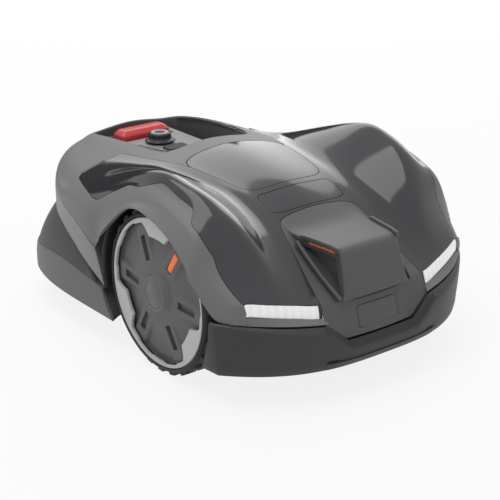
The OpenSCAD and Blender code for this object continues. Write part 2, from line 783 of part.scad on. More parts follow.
// Gear motor of the left wheel, bolted to the tub's wall
module gearmotor() {
    inner = tub_half - tub_t;
    flange_t = 4;
    color("#8f9296")
        difference() {
            union() {
                turned([inner - 100, axle_y, axle_z])
                    cylinder(d = gearmotor_d, h = 98);
                turned([inner - flange_t, axle_y, axle_z])
                    cylinder(d = gearmotor_d + 14, h = flange_t);
            }
            turned([inner - 34, axle_y, axle_z])
                cylinder(d = axle_d + 2 * run_fit, h = 40);
        }
}

module right_gearmotor() {
    on_right()
        gearmotor();
}

module left_gearmotor() {
    gearmotor();
}

module axle_bearings() {
    color("#c9ccd0")
        for (side = [0, 1])
            mirror([side, 0, 0])
                turned([tub_half - tub_t, axle_y, axle_z])
                    difference() {
                        cylinder(r = axle_d / 2 + 8, h = tub_t + 6);
                        translate([0, 0, -1])
                            cylinder(d = axle_d + 2 * run_fit, h = tub_t + 8);
                    }
}

// Drive wheel of the left side; the right one is its mirror image
rim_r = wheel_r - tyre_depth;
ring_r = rim_r + 6;
ring_t = 4;
face_x = wheel_out - 6;
slot = [9, 32];
slot_r = rim_r * 0.62;

module tyre() {
    shoulder = 5;
    tread_r = wheel_r - lug_h;
    profile = [
        [rim_r, -wheel_w], [tread_r - shoulder, -wheel_w], [tread_r, -wheel_w + shoulder],
        [tread_r, -shoulder], [tread_r - 2, -2], [ring_r + 1, 0], [ring_r + 0.6, -6.5], [rim_r, -6.5]
    ];
    color("#2b2b2b")
        turned([wheel_out, axle_y, axle_z])
            union() {
                rotate_extrude()
                    polygon(profile);
                for (i = [0:lug_count - 1])
                    rotate([0, 0, i * 360 / lug_count])
                        translate([tread_r - 2, -5, -wheel_w + shoulder + 1])
                            cube([lug_h + 1.9, 10, wheel_w - 2 * shoulder - 2]);
            }
}

module rim() {
    web_t = 5;
    color("#595a5c")
        turned([face_x, axle_y, axle_z])
            difference() {
                union() {
                    translate([0, 0, -web_t])
                        cylinder(r = rim_r - 0.2, h = web_t);
                    translate([0, 0, -wheel_w + 12])
                        difference() {
                            cylinder(r = rim_r - 0.2, h = wheel_w - 12);
                            translate([0, 0, -1])
                                cylinder(r = rim_r - 5, h = wheel_w);
                        }
                    translate([0, 0, -wheel_w + 10])
                        cylinder(r = 18, h = wheel_w - 10);
                }
                translate([0, 0, -wheel_w])
                    cylinder(d = axle_d, h = wheel_w - 2);
                for (i = [0:5])
                    rotate([0, 0, i * 60 + 30])
                        translate([slot_r - slot[1] / 2, -slot[0] / 2, -web_t - 1])
                            cube([slot[1], slot[0], web_t + 2]);
            }
}

module ring() {
    inner_r = ring_r - 13;
    color("#b4b5b6")
        turned([face_x + panel_gap, axle_y, axle_z])
            linear_extrude(ring_t)
                difference() {
                    circle(r = ring_r);
                    difference() {
                        circle(r = inner_r);
                        for (i = [0:2])
                            rotate(i * 120 + 62)
                                translate([inner_r - 8, -24])
                                    square([20, 48]);
                    }
                }
}

module hub_cap() {
    cap_h = 9;
    color("#4d4e50")
        turned([face_x, axle_y, axle_z])
            union() {
                cylinder(r1 = 31, r2 = 23, h = cap_h - 2);
                cylinder(r = 21, h = cap_h);
            }
}

module marker() {
    color("#f08050")
        turned([face_x, axle_y, axle_z])
            rotate([0, 0, 210])
                translate([slot_r - slot[1] / 2 + 0.2, -slot[0] / 2 + 0.2, -4])
                    cube([slot[1] - 0.4, slot[0] - 0.4, 4.5]);
}

module axle() {
    color("#b9bcc0")
        turned([tub_half - tub_t - 32, axle_y, axle_z])
            cylinder(d = axle_d, h = face_x - 2 - (tub_half - tub_t - 32));
}

module right_tyre() {
    on_right()
        tyre();
}

module left_tyre() {
    tyre();
}

module right_rim() {
    on_right()
        rim();
}

module left_rim() {
    rim();
}

module right_ring() {
    on_right()
        ring();
}

module left_ring() {
    ring();
}

module right_hub_cap() {
    on_right()
        hub_cap();
}

module left_hub_cap() {
    hub_cap();
}

module right_marker() {
    on_right()
        marker();
}

module left_marker() {
    marker();
}

module right_axle() {
    on_right()
        axle();
}

module left_axle() {
    axle();
}

// Rear caster of the left side
yoke_t = 5;
yoke_z = caster_d + 6;
yoke_h = 8;
yoke_gap = 1;
pin_d = 8;
wheel_y = caster_y + caster_trail;

module caster_bushes() {
    color("#c8b98a")
        for (side = [-1, 1])
            translate([side * caster_x, caster_y, rear_floor - 4])
                difference() {
                    cylinder(r = stem_d / 2 + 3, h = 34);
                    translate([0, 0, -1])
                        cylinder(d = stem_d + 2 * run_fit, h = 36);
                }
}

module caster_fork() {
    arm = caster_w / 2 + yoke_gap;
    arm_w = 20;
    color("#3a3b3d")
        difference() {
            union() {
                translate([caster_x, caster_y, yoke_z])
                    cylinder(d = stem_d, h = rear_floor + 31 - yoke_z);
                translate([caster_x, caster_y, yoke_z])
                    cylinder(d = stem_d + 10, h = rear_floor - 4 - panel_gap - yoke_z);
                translate([caster_x - arm - yoke_t, caster_y - 10, yoke_z])
                    cube([2 * (arm + yoke_t), caster_trail + 20, yoke_h]);
                for (side = [0, 1])
                    translate([caster_x + (side == 0 ? -arm - yoke_t : arm), wheel_y - arm_w / 2, caster_d / 2])
                        cube([yoke_t, arm_w, yoke_z - caster_d / 2 + 1]);
                turned([caster_x - arm - yoke_t, wheel_y, caster_d / 2])
                    cylinder(d = arm_w, h = yoke_t);
                turned([caster_x + arm, wheel_y, caster_d / 2])
                    cylinder(d = arm_w, h = yoke_t);
            }
            turned([caster_x - arm - yoke_t - 1, wheel_y, caster_d / 2])
                cylinder(d = pin_d, h = 2 * (arm + yoke_t) + 2);
        }
}

module caster_pin() {
    reach = caster_w / 2 + yoke_gap + yoke_t;
    color("#c2c5c9")
        turned([caster_x - reach, wheel_y, caster_d / 2])
            cylinder(d = pin_d, h = 2 * reach);
}

module caster_wheel() {
    chamfer = 4;
    r = caster_d / 2;
    profile = [
        [pin_d / 2 + run_fit, 0], [r - chamfer, 0], [r, chamfer], [r, caster_w - chamfer],
        [r - chamfer, caster_w], [pin_d / 2 + run_fit, caster_w]
    ];
    color("#2d2e30")
        turned([caster_x - caster_w / 2, wheel_y, r])
            rotate_extrude()
                polygon(profile);
}

module right_caster_fork() {
    on_right()
        caster_fork();
}

module left_caster_fork() {
    caster_fork();
}

module right_caster_pin() {
    on_right()
        caster_pin();
}

module left_caster_pin() {
    caster_pin();
}

module right_caster_wheel() {
    on_right()
        caster_wheel();
}

module left_caster_wheel() {
    caster_wheel();
}

// Cutter: a carriage that slides in the tub's guide and carries the motor
module cutter_carriage() {
    color("#46484a")
        translate([0, cutter_y, 0])
            difference() {
                translate([0, 0, carriage_floor])
                    cylinder(r = carriage_r, h = cap_z + cap_t - carriage_floor);
                translate([0, 0, motor_z])
                    cylinder(r = carriage_r - 6, h = cap_z - motor_z);
                translate([0, 0, carriage_floor - 1])
                    cylinder(d = cutter_shaft_d + 2 * run_fit, h = carriage_floor_t + 2);
                translate([0, 0, cap_z - 1])
                    cylinder(d = screw_d + 2 * run_fit, h = cap_t + 2);
            }
}

module cutter_motor() {
    color("#9a9da1")
        translate([0, cutter_y, motor_z])
            difference() {
                cylinder(r = carriage_r - 6 - run_fit, h = motor_h);
                translate([0, 0, -1])
                    cylinder(d = cutter_shaft_d + 2 * run_fit, h = 13);
            }
}

module height_motor() {
    color("#7f8286")
        translate([0, cutter_y, lid_z])
            difference() {
                cylinder(d = 34, h = height_motor_h);
                translate([0, 0, -1])
                    cylinder(d = screw_d + 2 * run_fit, h = 13);
            }
}

module height_screw() {
    color("#c7cacd")
        translate([0, cutter_y, screw_z])
            cylinder(d = screw_d, h = lid_z + 11 - screw_z);
}

module blade_disc() {
    hub_h = carriage_floor - panel_gap - disc_z;
    color("#33363a")
        translate([0, cutter_y, 0])
            difference() {
                union() {
                    translate([0, 0, disc_z])
                        cylinder(r = disc_r, h = disc_t);
                    translate([0, 0, disc_z])
                        cylinder(r = 16, h = hub_h);
                    translate([0, 0, skid_z - 3])
                        cylinder(d = cutter_shaft_d, h = motor_z + 11 - skid_z + 3);
                    translate([0, 0, skid_z + skid_t + panel_gap])
                        cylinder(d = cutter_shaft_d + 8, h = disc_z - skid_z - skid_t - panel_gap + 1);
                    translate([0, 0, skid_z - 5])
                        cylinder(d = cutter_shaft_d + 8, h = 5 - panel_gap);
                }
                for (i = [0:2])
                    rotate([0, 0, 120 * i])
                        translate([pivot_r, 0, disc_z - 1])
                            cylinder(d = pivot_d, h = disc_t + 2);
            }
}

blade_z = disc_z - panel_gap - blade_t;

module blade(i) {
    width = 18;
    inner = 9;
    color("#d0d3d6")
        translate([0, cutter_y, blade_z])
            rotate([0, 0, 120 * i])
                translate([pivot_r, 0, 0])
                    difference() {
                        translate([-inner, -width / 2, 0])
                            cube([blade_l, width, blade_t]);
                        translate([0, 0, -1])
                            cylinder(d = pivot_d + 2 * run_fit, h = blade_t + 2);
                    }
}

module blade_1() {
    blade(0);
}

module blade_2() {
    blade(1);
}

module blade_3() {
    blade(2);
}

module blade_screws() {
    head_h = 2.5;
    color("#b5b8bb")
        translate([0, cutter_y, 0])
            for (i = [0:2])
                rotate([0, 0, 120 * i])
                    translate([pivot_r, 0, blade_z - panel_gap - head_h])
                        union() {
                            cylinder(d = pivot_d + 6, h = head_h);
                            cylinder(d = pivot_d, h = head_h + panel_gap * 2 + blade_t + disc_t);
                        }
}

module skid_plate() {
    color("#3f4143")
        translate([0, cutter_y, skid_z])
            difference() {
                cylinder(r = skid_r, h = skid_t);
                translate([0, 0, -1])
                    cylinder(d = cutter_shaft_d + 2 * run_fit, h = skid_t + 2);
            }
}

// Controls on the deck
module stop_button() {
    foot_z = deck_z - pocket_h + stop_lift;
    edge = 3;
    color("#d8413f")
        union() {
            translate([0, stop_y, foot_z])
                linear_extrude(stop_h - edge)
                    round_rect(stop_size, 9);
            translate([0, stop_y, foot_z])
                linear_extrude(stop_h)
                    round_rect([stop_size[0] - 2 * edge, stop_size[1] - 2 * edge], 6);
            for (side = [-1, 1])
                translate([side * stop_stem_x, stop_y, foot_z - stop_lift - tub_t - 12])
                    cylinder(d = stop_stem_d, h = stop_lift + tub_t + 13);
        }
}

module knob_stem() {
    color("#8c8f93")
        translate([0, knob_y, deck_z - 30])
            cylinder(d = knob_stem_d, h = knob_z + knob_h / 2 - deck_z + 30);
}

module knob() {
    color("#232426")
        translate([0, knob_y, knob_z])
            difference() {
                union() {
                    cylinder(d = knob_d + 10, h = 3);
                    cylinder(d = knob_d, h = knob_h);
                }
                translate([0, 0, -1])
                    cylinder(d = knob_stem_d + 2 * run_fit, h = knob_h / 2 + 1 + panel_gap);
            }
}

body_shell();
shell_mounts();
hood();
rear_cover();
right_side_panel();
left_side_panel();
label_plate();
nose_cover();
nose_window();
amber_strips();
right_headlight_lens();
left_headlight_lens();
right_headlight_housing();
left_headlight_housing();
front_bumper();
tail_skirt();
recess_wall();
hatch();
chassis_tub();
chassis_lid();
sensor_posts();
control_deck();
status_window();
battery();
main_board();
right_gearmotor();
left_gearmotor();
axle_bearings();
height_motor();
caster_bushes();
right_tyre();
right_rim();
right_ring();
right_hub_cap();
right_marker();
right_axle();
left_tyre();
left_rim();
left_ring();
left_hub_cap();
left_marker();
left_axle();
right_caster_fork();
right_caster_pin();
right_caster_wheel();
left_caster_fork();
left_caster_pin();
left_caster_wheel();
cutter_carriage();
cutter_motor();
height_screw();
blade_disc();
blade_1();
blade_2();
blade_3();
blade_screws();
skid_plate();
stop_button();
knob_stem();
knob();
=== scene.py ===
"""Looks of the robotic lawn mower: panels cut from one body surface, wheels, nose, lamps and controls."""
import math

import bpy
import numpy as np
from mathutils import Matrix, Vector


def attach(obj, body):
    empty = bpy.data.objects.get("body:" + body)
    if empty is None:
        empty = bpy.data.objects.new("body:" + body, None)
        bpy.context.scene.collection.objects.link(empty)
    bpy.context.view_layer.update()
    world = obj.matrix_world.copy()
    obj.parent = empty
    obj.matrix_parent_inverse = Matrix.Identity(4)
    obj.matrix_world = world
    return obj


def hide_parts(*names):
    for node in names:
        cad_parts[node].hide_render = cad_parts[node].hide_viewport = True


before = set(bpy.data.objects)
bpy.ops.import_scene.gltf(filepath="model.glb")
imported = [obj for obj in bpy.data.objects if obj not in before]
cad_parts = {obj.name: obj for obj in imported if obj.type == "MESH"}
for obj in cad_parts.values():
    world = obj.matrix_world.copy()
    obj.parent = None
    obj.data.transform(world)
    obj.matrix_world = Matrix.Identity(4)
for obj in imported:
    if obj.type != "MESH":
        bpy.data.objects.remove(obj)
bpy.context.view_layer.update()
MM = 0.001

# ---------------------------------------------------------------- body surface

CENTRE = [(-287, 0, 117), (-240, 0, 152), (-172, 0, 197), (-119, 0, 220), (-60, 0, 232), (12, 0, 239),
          (80, 0, 239), (160, 0, 235), (230, 0, 229), (275, 0, 216), (292, 0, 199)]
SPINE = [(-287, 86, 122.5), (-240, 78, 151), (-172, 67, 193), (-119, 66, 215), (-60, 71, 225), (12, 77, 231),
         (62, 76, 231), (160, 80, 228), (230, 76, 221), (270, 64, 212), (292, 26, 198)]
VALLEY = [(-287, 118, 128), (-240, 112, 159), (-172, 104, 199), (-119, 103, 217.5), (-60, 107, 225),
          (12, 114, 227), (62, 120, 222), (160, 124, 212), (230, 108, 210), (270, 84, 206), (292, 38, 195)]
RIDGE = [(-287, 150, 133.5), (-245, 142, 171), (-214, 147, 201), (-178, 156, 228), (-150, 163, 245),
         (-114, 169, 255), (-77, 171, 260.6), (-36, 171, 253), (0, 171, 242), (40, 168, 228), (80, 164, 214),
         (160, 158, 197), (230, 134, 199), (270, 102, 199), (292, 50, 190)]
SHOULDER = [(-287, 180, 138), (-245, 188, 173), (-200, 191, 204), (-160, 191, 227), (-114, 191, 241),
            (-77, 192, 245), (-36, 193, 237), (0, 194, 223), (50, 194, 207), (98, 190, 198), (160, 178, 184),
            (230, 150, 186), (270, 114, 188), (292, 60, 184)]
LIP = [(-287, 195, 131), (-245, 209.4, 170), (-200, 208.8, 195), (-150, 208.4, 216.5), (-100, 208, 228),
       (-60, 208, 223), (-20, 208, 208), (20, 208, 189), (53, 213, 178), (98, 208, 177), (146, 197, 175),
       (200, 175, 174), (240, 148, 174), (270, 119, 176), (292, 66, 174)]
REAR_HEM = [(34, 75.5), (56, 94), (78, 110.5), (99, 120), (151, 133), (204, 134), (292, 134)]
FRONT, REAR = -287.0, 292.0
FLARE = 12.0
CREASE, HEM = 5.0, 6.0  # rail counts of the crease along the sides and of their lower edge
CREASE_SOFT = 0.3  # rail counts on either side of the crease that its rounding takes up
AXLE_Y, AXLE_Z = -102.0, 110.0
UP = np.array([0, 0, 1.0])


def ease(t):
    """Smooth step: 3t^2 - 2t^3 between 0 and 1."""
    t = np.clip(t, 0, 1)
    return t * t * (3 - 2 * t)


def mix(a, b, t):
    """Straight from a to b."""
    return a + (b - a) * t


def shares(n):
    """n even steps from 0 to 1."""
    return np.linspace(0, 1, n)


def unit(n):
    """Vectors brought to length 1."""
    return n / np.linalg.norm(n, axis=-1, keepdims=True)


def curve(knots, y):
    """Cubic Hermite curve through knots (y, values), each tangent taken from the two neighbours."""
    k = np.asarray(knots, float)
    x, p = k[:, 0], k[:, 1:]
    lo = np.maximum(np.arange(len(x)) - 1, 0)
    hi = np.minimum(np.arange(len(x)) + 1, len(x) - 1)
    m = (p[hi] - p[lo]) / (x[hi] - x[lo])[:, None]
    y = np.asarray(y, float)
    i = np.clip(np.searchsorted(x, y, side="right") - 1, 0, len(x) - 2)
    h = x[i + 1] - x[i]
    t = ((y - x[i]) / h)[..., None]
    u, h = 1 - t, h[..., None]
    return u * u * (1 + 2 * t) * p[i] + u * u * t * h * m[i] + t * t * (3 - 2 * t) * p[i + 1] - t * t * u * h * m[i + 1]


def smooth_rail(knots, wide=9.0, reach=45):
    """Rail sampled every millimetre and averaged over a bell curve 'wide' mm wide; its ends stay in place."""
    p = curve(knots, np.arange(FRONT, REAR + 1))
    p = np.pad(p, ((reach, reach), (0, 0)), mode="reflect", reflect_type="odd")
    w = np.exp(-0.5 * (np.arange(-reach, reach + 1) / wide) ** 2)
    return np.stack([np.convolve(p[:, k], w / w.sum(), mode="valid") for k in (0, 1)], -1)


RAILS = np.stack([smooth_rail(r) for r in (CENTRE, SPINE, VALLEY, RIDGE, SHOULDER, LIP)])


def rails_at(y):
    """All six rails at y, straight between the millimetre samples."""
    k = np.clip(np.asarray(y, float) - FRONT, 0, REAR - FRONT - 1e-6)
    i = np.floor(k).astype(int)
    return RAILS[:, i] + (RAILS[:, i + 1] - RAILS[:, i]) * (k - i)[..., None]


def bow(x, y):
    """How far the front edge bows back: 40 mm at x = 183, by the power 2.2, gone behind y = -170."""
    return 40 * (np.abs(x) / 183) ** 2.2 * (1 - ease((y + 270) / 100))


ARCH = [(-300, 113.3), (-232, 113.3), (-226.5, 117), (-221, 126), (-214, 138), (-206, 150), (-196, 162),
        (-185, 173.5), (-169, 187.5), (-154, 197.7), (-133, 207.5), (-111, 214.5), (-90, 219), (-76, 219.5),
        (-60, 216), (-43, 206.5), (-24, 191.5), (-5.5, 175.2), (17, 156), (33, 140.5), (39.5, 131), (60, 110)]
ARCH_REAR = 39.5


def side_bottom(y):
    """Height of the panels' lower edge: the wheel arch's curve, then the rising hem of the rear."""
    arch = curve(ARCH, np.clip(y, ARCH[0][0], ARCH[-1][0]))[..., 0]
    hem = curve(REAR_HEM, np.maximum(y, REAR_HEM[0][0]))[..., 0]
    return np.where(y < ARCH_REAR, arch, hem)


def flare(y):
    """Outward reach of the wheel-arch flare: 12 mm along the arch, easing to nothing at both ends."""
    return FLARE * ease((y + 296) / 36) * (1 - ease(y / 40))


def body(v, y):
    """Point of the outer surface in mm: Catmull-Rom across the rails at v = 0 to 5, each rail a smoothed Hermite
    curve along y, then a straight fall to the hem at v = 6, with the crease at v = 5 rounded by a quadratic arc."""
    v, y = np.broadcast_arrays(np.asarray(v, float), np.asarray(y, float))
    a = np.abs(v)
    R = rails_at(y)
    hem_y = y + bow(R[5][..., 0], y)
    H = np.stack([R[5][..., 0] + flare(y), np.minimum(side_bottom(hem_y), R[5][..., 1] - 6)], -1)
    R = np.concatenate([R[1][None] * [-1, 1.0], R, (R[5] + [0, -25.0])[None]])

    def across(a):
        """Section's point at rail count a."""
        i = np.clip(np.floor(a).astype(int), 0, 4)
        t = np.clip(a - i, 0, 1)[..., None]
        A, B, C, D = [np.take_along_axis(R, (i + k)[None, ..., None], 0)[0] for k in range(4)]
        q = B + (C - A) * t / 2 + (2 * A - 5 * B + 4 * C - D) * t * t / 2 + (3 * B - A - 3 * C + D) * t ** 3 / 2
        w = np.clip(a - CREASE, 0, 1)[..., None]
        return np.where(a[..., None] > CREASE, R[6] + (H - R[6]) * w, q)

    lo, hi = CREASE - CREASE_SOFT, CREASE + CREASE_SOFT
    s = np.clip((a - lo) / (hi - lo), 0, 1)[..., None]
    ends = across(np.full_like(a, lo)), across(np.full_like(a, hi))
    soft = (1 - s) ** 2 * ends[0] + 2 * s * (1 - s) * R[6] + s * s * ends[1]
    q = np.where((np.abs(a - CREASE) < CREASE_SOFT)[..., None], soft, across(a))
    return np.stack([np.where(v < 0, -q[..., 0], q[..., 0]), y + bow(q[..., 0], y), q[..., 1]], -1)


# ---------------------------------------------------------------- mesh helpers

def sheet(P, wrap=False):
    """Quads over a grid of points; wrap joins its last column to its first."""
    P = np.asarray(P, float)
    if wrap:
        P = np.concatenate([P, P[:, :1]], 1)
    n, m = P.shape[:2]
    k = np.arange(n * m).reshape(n, m)
    quads = np.stack([k[:-1, :-1], k[:-1, 1:], k[1:, 1:], k[1:, :-1]], -1).reshape(-1, 4)
    return P.reshape(-1, 3), quads


def flip(part):
    """The same part with its faces turned over."""
    return part[0], part[1][:, ::-1]


def mirrored(part):
    """The same part on the other side of the middle plane, with its faces turned to point outwards."""
    return part[0] * [-1, 1, 1], part[1][:, ::-1]


def both(*parts):
    """The parts and their mirror images."""
    return list(parts) + [mirrored(p) for p in parts]


def turned(profile, at, turns=96, ripple=None, upright=False):
    """Profile (radius, distance along the axis) turned about an axis along x, or about an upright one; ripple adds
    to the radius by angle, distance and radius."""
    pr = np.asarray(profile, float)
    th = np.linspace(0, 2 * np.pi, turns, endpoint=False)[None, :]
    r, along = [np.repeat(pr[:, k:k + 1], turns, 1) for k in (0, 1)]
    if ripple is not None:
        r = r + ripple(th, along, r)
    c, s = r * np.cos(th), r * np.sin(th)
    return sheet(np.stack([c, s, along] if upright else [along, c, s], -1) + np.asarray(at, float), wrap=True)


def wheel_grid(x, r, phi):
    """Points at distance r and angle phi round the axle (0 behind it, 90 above it), x out from the middle."""
    x, r, phi = np.broadcast_arrays(x, r, phi)
    return np.stack([x, AXLE_Y + r * np.cos(phi), AXLE_Z + r * np.sin(phi)], -1)


def squircle(count, power):
    """Points round the superellipse |a|^power + |b|^power = 1, at even angles."""
    t = np.linspace(0, 2 * np.pi, count, endpoint=False)
    q = np.stack([np.cos(t), np.sin(t)], -1)
    return q / (np.abs(q) ** power).sum(1, keepdims=True) ** (1 / power)


def squeeze(a, b, power):
    """Factor that draws the point (a, b) of a square in to the superellipse |a|^power + |b|^power = 1."""
    a, b = np.abs(a), np.abs(b)
    return np.maximum(a, b) / np.maximum((a ** power + b ** power) ** (1 / power), 1e-9)


def capped(P):
    """Closed tube through rows of closed loops, each end closed to its middle point."""
    P = np.asarray(P, float)
    ends = [np.repeat(P[k].mean(0)[None, None], P.shape[1], 1) for k in (0, -1)]
    return sheet(np.concatenate([ends[0], P, ends[1]]), wrap=True)


def bar(path, width, height, round_r, sides=(1, 0, 0), ups=(0, 0, 1)):
    """Rounded rectangular section carried along a path of points, closed at both ends: cosine and sine, each to the
    power round_r."""
    path = np.asarray(path, float)
    t = np.linspace(0, 2 * np.pi, 24, endpoint=False)
    prof = np.stack([np.sign(k) * np.abs(k) ** round_r for k in (np.cos(t), np.sin(t))], -1)
    w = np.broadcast_to(np.asarray(width, float), len(path))[:, None, None] / 2
    h = np.broadcast_to(np.asarray(height, float), len(path))[:, None, None] / 2
    sd, up = [np.broadcast_to(np.asarray(d, float), path.shape)[:, None] for d in (sides, ups)]
    return capped(path[:, None] + sd * prof[None, :, :1] * w + up * prof[None, :, 1:] * h)


def slab(size, at, steps, power):
    """Stack of rounded rectangles: steps give (inset, height), and each outline is a superellipse."""
    q = squircle(96, power)
    rows = [np.concatenate([at[:2] + q * (np.asarray(size) / 2 - inset), np.full((len(q), 1), at[2] + z)], 1)
            for inset, z in steps]
    return capped(np.stack(rows))


def welded(parts):
    """All parts as one mesh: points closer than 0.01 mm are merged, and flattened quads become triangles."""
    count = np.cumsum([0] + [len(p[0]) for p in parts])
    V = np.concatenate([p[0] for p in parts])
    F = np.concatenate([p[1] + c for p, c in zip(parts, count)])
    _, first, back = np.unique(np.round(V * 100).astype(np.int64), axis=0, return_index=True, return_inverse=True)
    V, F = V[first], back.reshape(-1)[F]
    same = F == np.roll(F, -1, 1)
    lost = same.sum(1)
    tris = F[lost == 1][~same[lost == 1]].reshape(-1, 3)
    return V, F[lost == 0], tris


def piece(name, parts, rides, finish, stands_for=(), wall=0.0, round_w=0.0, sharp=38.0):
    """Object from parts in mm: optional wall thickness below the outer faces, then rounded edges."""
    V, quads, tris = welded(parts)
    mesh = bpy.data.meshes.new(name)
    mesh.from_pydata((V * MM).tolist(), [], quads.tolist() + tris.tolist())
    mesh.shade_smooth()
    mesh.set_sharp_from_angle(angle=math.radians(sharp))
    mesh.materials.append(finish)
    obj = bpy.data.objects.new(name, mesh)
    bpy.context.scene.collection.objects.link(obj)
    if wall:
        m = obj.modifiers.new("wall", "SOLIDIFY")
        m.thickness = wall * MM
        m.offset = -1
        m.use_quality_normals = True
    if round_w:
        m = obj.modifiers.new("edges", "BEVEL")
        m.width = round_w * MM
        m.segments = 2
        m.limit_method = "ANGLE"
        m.angle_limit = math.radians(50)
        m.harden_normals = True
    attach(obj, rides)
    if stands_for:
        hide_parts(*stands_for)
    return obj


# ---------------------------------------------------------------- finishes

def new_group(name, inputs, outputs):
    """Empty shader group with the given sockets, its two end nodes and its adder of math nodes."""
    g = bpy.data.node_groups.new(name, "ShaderNodeTree")
    for label, kind, value in inputs:
        g.interface.new_socket(label, in_out="INPUT", socket_type="NodeSocket" + kind).default_value = value
    for label, kind in outputs:
        g.interface.new_socket(label, in_out="OUTPUT", socket_type="NodeSocket" + kind)
    return g, g.nodes.new("NodeGroupInput").outputs, g.nodes.new("NodeGroupOutput").inputs, adder(g)


def adder(tree):
    """Function that adds a math node to a tree, from an operation and two values or sockets."""
    def add(op, a, b=0.0):
        """One math node's output."""
        n = tree.nodes.new("ShaderNodeMath")
        n.operation = op
        for socket, x in zip(n.inputs, (a, b)):
            feed(tree, x, socket)
        return n.outputs[0]
    return add


def feed(tree, x, socket):
    """Give a socket a plain number, or link another socket to it."""
    if isinstance(x, (int, float)):
        socket.default_value = x
    else:
        tree.links.new(x, socket)


def noise_node(tree, scale, detail, rough=0.5):
    """Noise in the object's own coordinates."""
    n = tree.nodes.new("ShaderNodeTexNoise")
    feed(tree, tree.nodes.new("ShaderNodeTexCoord").outputs["Object"], n.inputs["Vector"])
    for label, x in (("Scale", scale), ("Detail", detail), ("Roughness", rough)):
        feed(tree, x, n.inputs[label])
    return n.outputs["Fac"]


def split_node(tree, vector):
    """The three parts of a vector."""
    n = tree.nodes.new("ShaderNodeSeparateXYZ")
    tree.links.new(vector, n.inputs[0])
    return n.outputs


def grain_group():
    """Moulded skin: fine grain for the height, slow drift for the tone, both together for the roughness."""
    g, given, asked, calc = new_group(
        "moulded_grain",
        [("Colour", "Color", (0.2, 0.2, 0.2, 1)), ("Spread", "Float", 0.08), ("Scale", "Float", 900.0),
         ("Rough low", "Float", 0.4), ("Rough high", "Float", 0.6)],
        [("Colour", "Color"), ("Roughness", "Float"), ("Height", "Float")])
    fine = noise_node(g, given["Scale"], 3.0, 0.6)
    slow = noise_node(g, 9.0, 4.0)
    tone = calc("ADD", calc("MULTIPLY", slow, 0.7), calc("MULTIPLY", fine, 0.3))
    drift = calc("MULTIPLY", calc("SUBTRACT", tone, 0.5), given["Spread"])
    scale = g.nodes.new("ShaderNodeVectorMath")
    scale.operation = "SCALE"
    feed(g, given["Colour"], scale.inputs[0])
    feed(g, calc("ADD", calc("MULTIPLY", drift, 2.0), 1.0), scale.inputs["Scale"])
    feed(g, scale.outputs[0], asked["Colour"])
    wide = calc("SUBTRACT", given["Rough high"], given["Rough low"])
    feed(g, calc("ADD", calc("MULTIPLY", tone, wide), given["Rough low"]), asked["Roughness"])
    feed(g, fine, asked["Height"])
    return g


def dust_group():
    """Settled dust: a colour moves towards dust where the surface looks up and a broken noise allows it."""
    g, given, asked, calc = new_group(
        "settled_dust",
        [("Colour", "Color", (0.1, 0.1, 0.1, 1)), ("Dust", "Color", (0.3, 0.29, 0.27, 1)), ("Amount", "Float", 0.2)],
        [("Colour", "Color"), ("Mask", "Float")])
    patch = noise_node(g, 55.0, 5.0, 0.65)
    upwards = split_node(g, g.nodes.new("ShaderNodeNewGeometry").outputs["Normal"])["Z"]
    up = calc("ADD", calc("MULTIPLY", upwards, 0.5), 0.5)
    mask = calc("MULTIPLY", calc("MULTIPLY", up, patch), given["Amount"])
    blend = g.nodes.new("ShaderNodeMix")
    blend.data_type = "RGBA"
    feed(g, mask, blend.inputs["Factor"])
    feed(g, given["Colour"], blend.inputs["A"])
    feed(g, given["Dust"], blend.inputs["B"])
    feed(g, blend.outputs["Result"], asked["Colour"])
    feed(g, mask, asked["Mask"])
    return g


GRAIN = grain_group()
DUST = dust_group()
COAT_ROUGH = 0.04


def finish(name, colour, rough=(0.4, 0.6), spread=0.06, scale=900.0, bump=0.1, depth=0.0004, metal=0.0,
           coat=0.0, dust=0.0, glow=0.0):
    """Principled material fed by the moulded grain, with settled dust where it is asked for."""
    m = bpy.data.materials.new(name)
    m.use_nodes = True
    nodes, links = m.node_tree.nodes, m.node_tree.links
    bsdf = nodes["Principled BSDF"]
    g = nodes.new("ShaderNodeGroup")
    g.node_tree = GRAIN
    g.inputs["Colour"].default_value = (*colour, 1)
    for label, x in (("Spread", spread), ("Scale", scale), ("Rough low", rough[0]), ("Rough high", rough[1])):
        g.inputs[label].default_value = x
    out = g.outputs["Colour"]
    if dust:
        d = nodes.new("ShaderNodeGroup")
        d.node_tree = DUST
        d.inputs["Amount"].default_value = dust
        links.new(out, d.inputs["Colour"])
        out = d.outputs["Colour"]
    links.new(out, bsdf.inputs["Base Color"])
    links.new(g.outputs["Roughness"], bsdf.inputs["Roughness"])
    b = nodes.new("ShaderNodeBump")
    b.inputs["Strength"].default_value = bump
    b.inputs["Distance"].default_value = depth
    links.new(g.outputs["Height"], b.inputs["Height"])
    links.new(b.outputs["Normal"], bsdf.inputs["Normal"])
    for label, x in (("Metallic", metal), ("Coat Weight", coat), ("Coat Roughness", COAT_ROUGH)):
        bsdf.inputs[label].default_value = x
    # glow makes the colour shine by itself; on the wheel's orange insert this is painted glow
    if glow:
        links.new(out, bsdf.inputs["Emission Color"])
        bsdf.inputs["Emission Strength"].default_value = glow
    m.diffuse_color = (*colour, 1)
    return m


